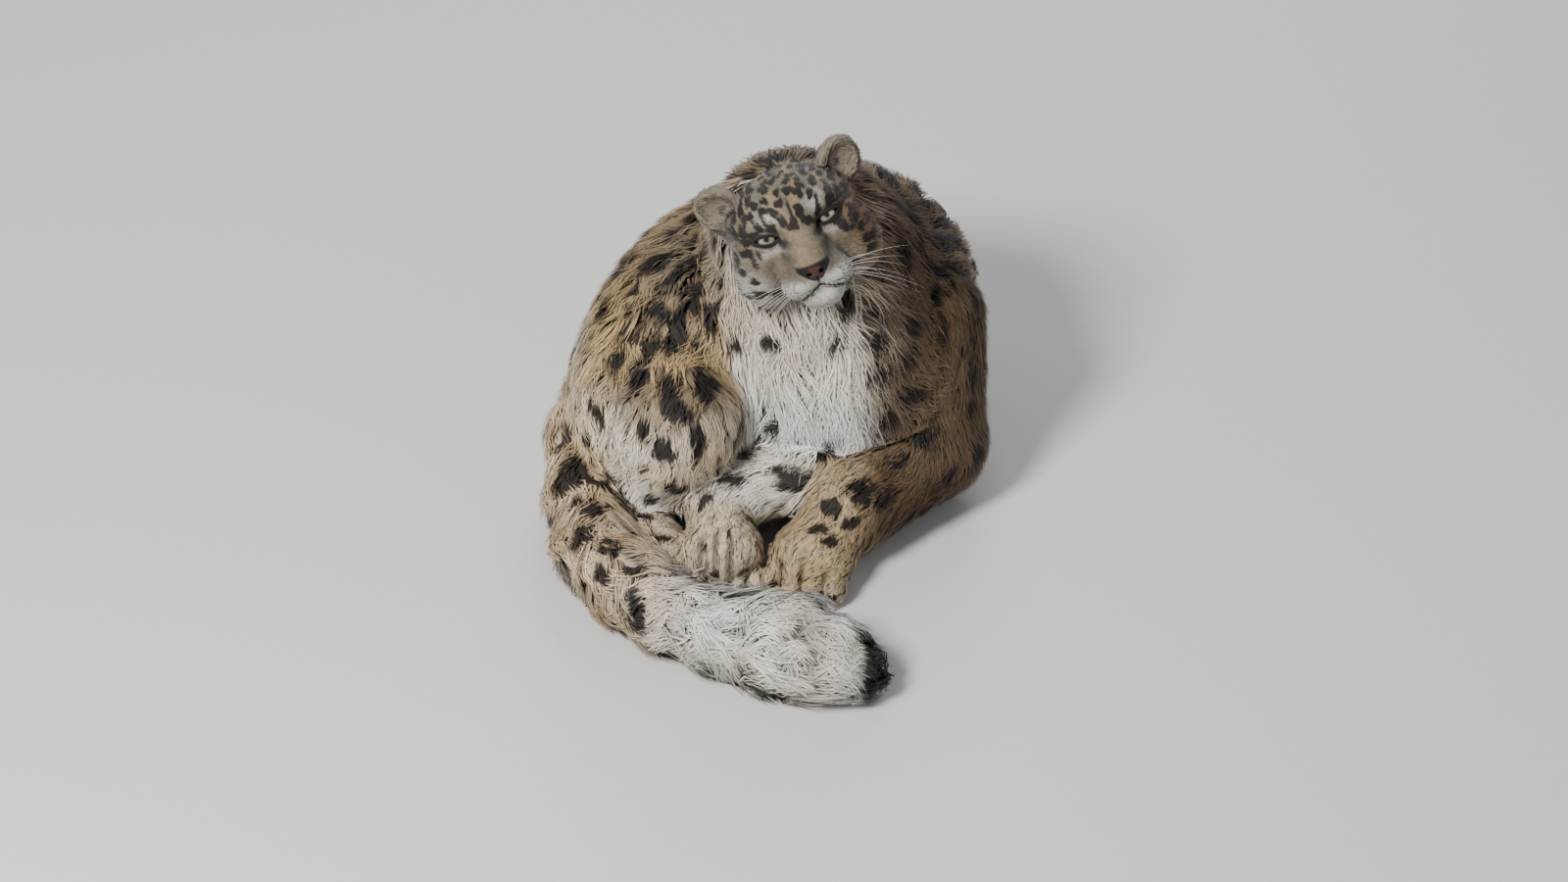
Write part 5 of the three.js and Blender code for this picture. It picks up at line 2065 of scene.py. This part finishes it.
# The dark marks that show, by part: picture place, radius in pixels, length for width, and slant in degrees.
PHOTO_MARKS: dict[str, tuple[tuple[float, float, float, float, float], ...]] = {
    "flank": (
        (687, 232, 8, 1.7, 70), (659, 245, 6, 1.2, 0), (640, 262, 7, 1.4, 90), (662, 269, 12, 1.2, 50),
        (684, 283, 10, 1.2, 60), (704, 268, 8, 1.6, 25), (645, 293, 8, 1.1, 90), (668, 318, 14, 1.1, 30),
        (711, 293, 10, 1.2, 90), (709, 311, 7, 1.3, 90), (693, 326, 8, 2.0, 85), (726, 322, 8, 2.2, 80),
        (613, 319, 12, 1.3, 150), (640, 342, 9, 1.4, 150), (664, 354, 12, 1.1, 60), (688, 349, 11, 1.2, 90),
        (628, 368, 11, 1.1, 0), (651, 386, 10, 1.6, 60), (683, 388, 11, 1.3, 20), (727, 256, 8, 2.2, 75),
        (622, 284, 7, 1.3, 100), (709, 353, 6, 1.3, 40), (736, 286, 7, 1.8, 15), (705, 246, 6, 2.2, 80),
        (678, 258, 5, 1.6, 20), (696, 303, 5, 2.0, 85), (640, 320, 5, 1.5, 120), (600, 352, 6, 1.4, 90),
    ),
    "haunch": (
        (724, 389, 15, 1.25, 110), (689, 416, 12, 1.4, 150), (654, 441, 6, 2.2, 75), (677, 463, 11, 1.2, 15),
        (715, 457, 8, 2.3, 95), (691, 499, 11, 1.2, 20), (651, 530, 8, 1.4, 0), (671, 550, 6, 1.9, 20),
        (664, 512, 6, 1.6, 60),
    ),
    "tail": (
        (606, 424, 8, 1.9, 135), (583, 381, 7, 1.6, 150), (576, 358, 7, 1.4, 90), (574, 414, 12, 1.4, 100),
        (575, 484, 14, 2.0, 90), (617, 491, 7, 2.6, 5), (633, 514, 8, 1.5, 80), (590, 548, 8, 2.2, 80),
        (570, 448, 9, 1.6, 90), (600, 452, 6, 1.6, 120), (604, 516, 7, 1.8, 60), (585, 515, 6, 1.6, 90),
        (621, 556, 7, 2.0, 150), (607, 584, 7, 1.8, 130), (648, 575, 6, 1.8, 160),
    ),
    "chest": (
        (777, 316, 5, 1.8, 135), (786, 352, 9, 1.4, 170), (852, 355, 4, 3.0, 55), (866, 315, 9, 1.6, 70),
        (898, 350, 8, 1.4, 110), (899, 384, 8, 1.8, 25), (911, 430, 8, 1.2, 90), (752, 352, 8, 1.3, 110),
        (932, 332, 9, 1.3, 0), (929, 366, 9, 1.3, 90), (936, 406, 10, 1.2, 60), (948, 446, 10, 1.6, 10),
    ),
    "forelegs": (
        (806, 488, 11, 2.0, 5), (747, 490, 7, 2.0, 15), (719, 511, 6, 1.5, 50), (750, 466, 5, 2.0, 60),
        (841, 464, 6, 1.6, 60), (848, 518, 9, 1.3, 90), (879, 503, 11, 1.4, 40), (836, 540, 6, 1.6, 160),
        (849, 553, 6, 1.5, 165), (868, 535, 6, 1.9, 5), (905, 508, 9, 1.3, 60), (912, 474, 8, 1.6, 10),
    ),
}


def place_photo_marks(pelt: Pelt, clear_reach: float = 50) -> None:
    """Put the marks that the photograph shows onto the coat, in place of scattered ones.

    Args:
        pelt: The skin with its scattered marks.
        clear_reach: How near a scattered mark may stand, in millimetres.
    """
    tree = BVHTree.FromPolygons(pelt.points.tolist(), pelt.quads.tolist())
    lift = math.radians(Studio.elevation)
    ahead = Vector((0, math.cos(lift), -math.sin(lift)))
    above = Vector((0, math.sin(lift), math.cos(lift)))
    found = []
    for across, down, radius, long, slant in (mark for marks in PHOTO_MARKS.values() for mark in marks):
        start = above * ((PHOTO_ZERO[1] - down) / PHOTO_SCALE) - ahead * RAY_START
        start.x += (across - PHOTO_ZERO[0]) / PHOTO_SCALE
        hit, normal, index, _ = tree.ray_cast(start, ahead)
        if hit is None:
            continue
        region = Region(int(pelt.regions[pelt.quads[index, 0]]))
        height = COAT_HEIGHT * COATS[region].lift
        hit = hit - ahead * (height / max(-ahead.dot(normal), LEAST_FACING)) - normal * height
        turn = math.radians(slant)
        way = Vector((math.cos(turn), 0, 0)) + above * math.sin(turn)
        way = (way - normal * way.dot(normal)).normalized()
        size = radius * MARK_GROWTH / PHOTO_SCALE
        found.append((np.array(hit, np.float32), np.array(normal), np.array(way), size, long))
    pelt.markings.clear(np.stack([mark[0] for mark in found]), clear_reach)
    for at, normal, way, radius, long in found:
        pelt.markings.add(at, normal, way, radius, long)


# The nodes that the skin stands for.
FLESH = (
    "head",
    "ear_left",
    "ear_right",
    "neck",
    "chest",
    "loins",
    "rump",
    "upper_arm_left",
    "forearm_left",
    "forepaw_left",
    "upper_arm_right",
    "forearm_right",
    "forepaw_right",
    "shank_right",
    "hindpaw_right",
    "thigh_left",
    "hindpaw_left",
    "thigh_right",
    "tail_root",
    "tail_middle",
    "tail_end",
    "tail_tip",
)


def frame_shift(head: Head) -> Array:
    """Give what turns the forms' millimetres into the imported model's, from where its left eye stands."""
    low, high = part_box("eye_left")
    stands = (np.array(low) + np.array(high)) / 2 / MM
    return (stands - head.axes.point(head.eye)).astype(np.float32)


def main() -> None:
    """Build the animal, its eyes and whiskers, and the studio."""
    logging.basicConfig(level=logging.INFO, format="%(message)s")
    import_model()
    anatomy = Anatomy()
    shift = frame_shift(anatomy.head)
    LOG.info("shift %s", shift)
    group = hair_colour_group()
    skin_material = FurFinish("skin_nap", 0.5).build(group)
    coat_material = FurFinish("coat_hair", 0.15).build(group)
    pelt = Pelt(anatomy, Lie(anatomy), Markings(anatomy), shift, skin_material, coat_material)
    skin = pelt.build_skin()
    LOG.info("skin: %d quads", len(pelt.quads))
    flows = pelt.lie.flow(pelt.points, pelt.normals, pelt.regions)
    pelt.markings.scatter(pelt.points, pelt.normals, flows, pelt.regions)
    place_photo_marks(pelt)
    pelt.mark_skin(skin)
    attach(skin, "root")
    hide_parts(*FLESH)
    for region in Region:
        for piece in pelt.grow(region):
            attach(piece, "root")
    whisker_finish = PlainFinish("whisker_hair", (0.8, 0.78, 0.72), 0.4)
    face = Face(anatomy.head, shift, EyeFinish().build(), whisker_finish.build())
    for side, node in ((1, "eye_left"), (-1, "eye_right")):
        eye = face.build_eye(side)
        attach(eye, "root")
        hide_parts(node)
        LOG.info("%s: %d faces", eye.name, len(eye.data.polygons))
    whiskers = face.build_whiskers()
    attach(whiskers, "root")
    LOG.info("whiskers: %d strands", 2 * face.whisker_count)
    Studio().build(shift)


if __name__ == "__main__":
    main()
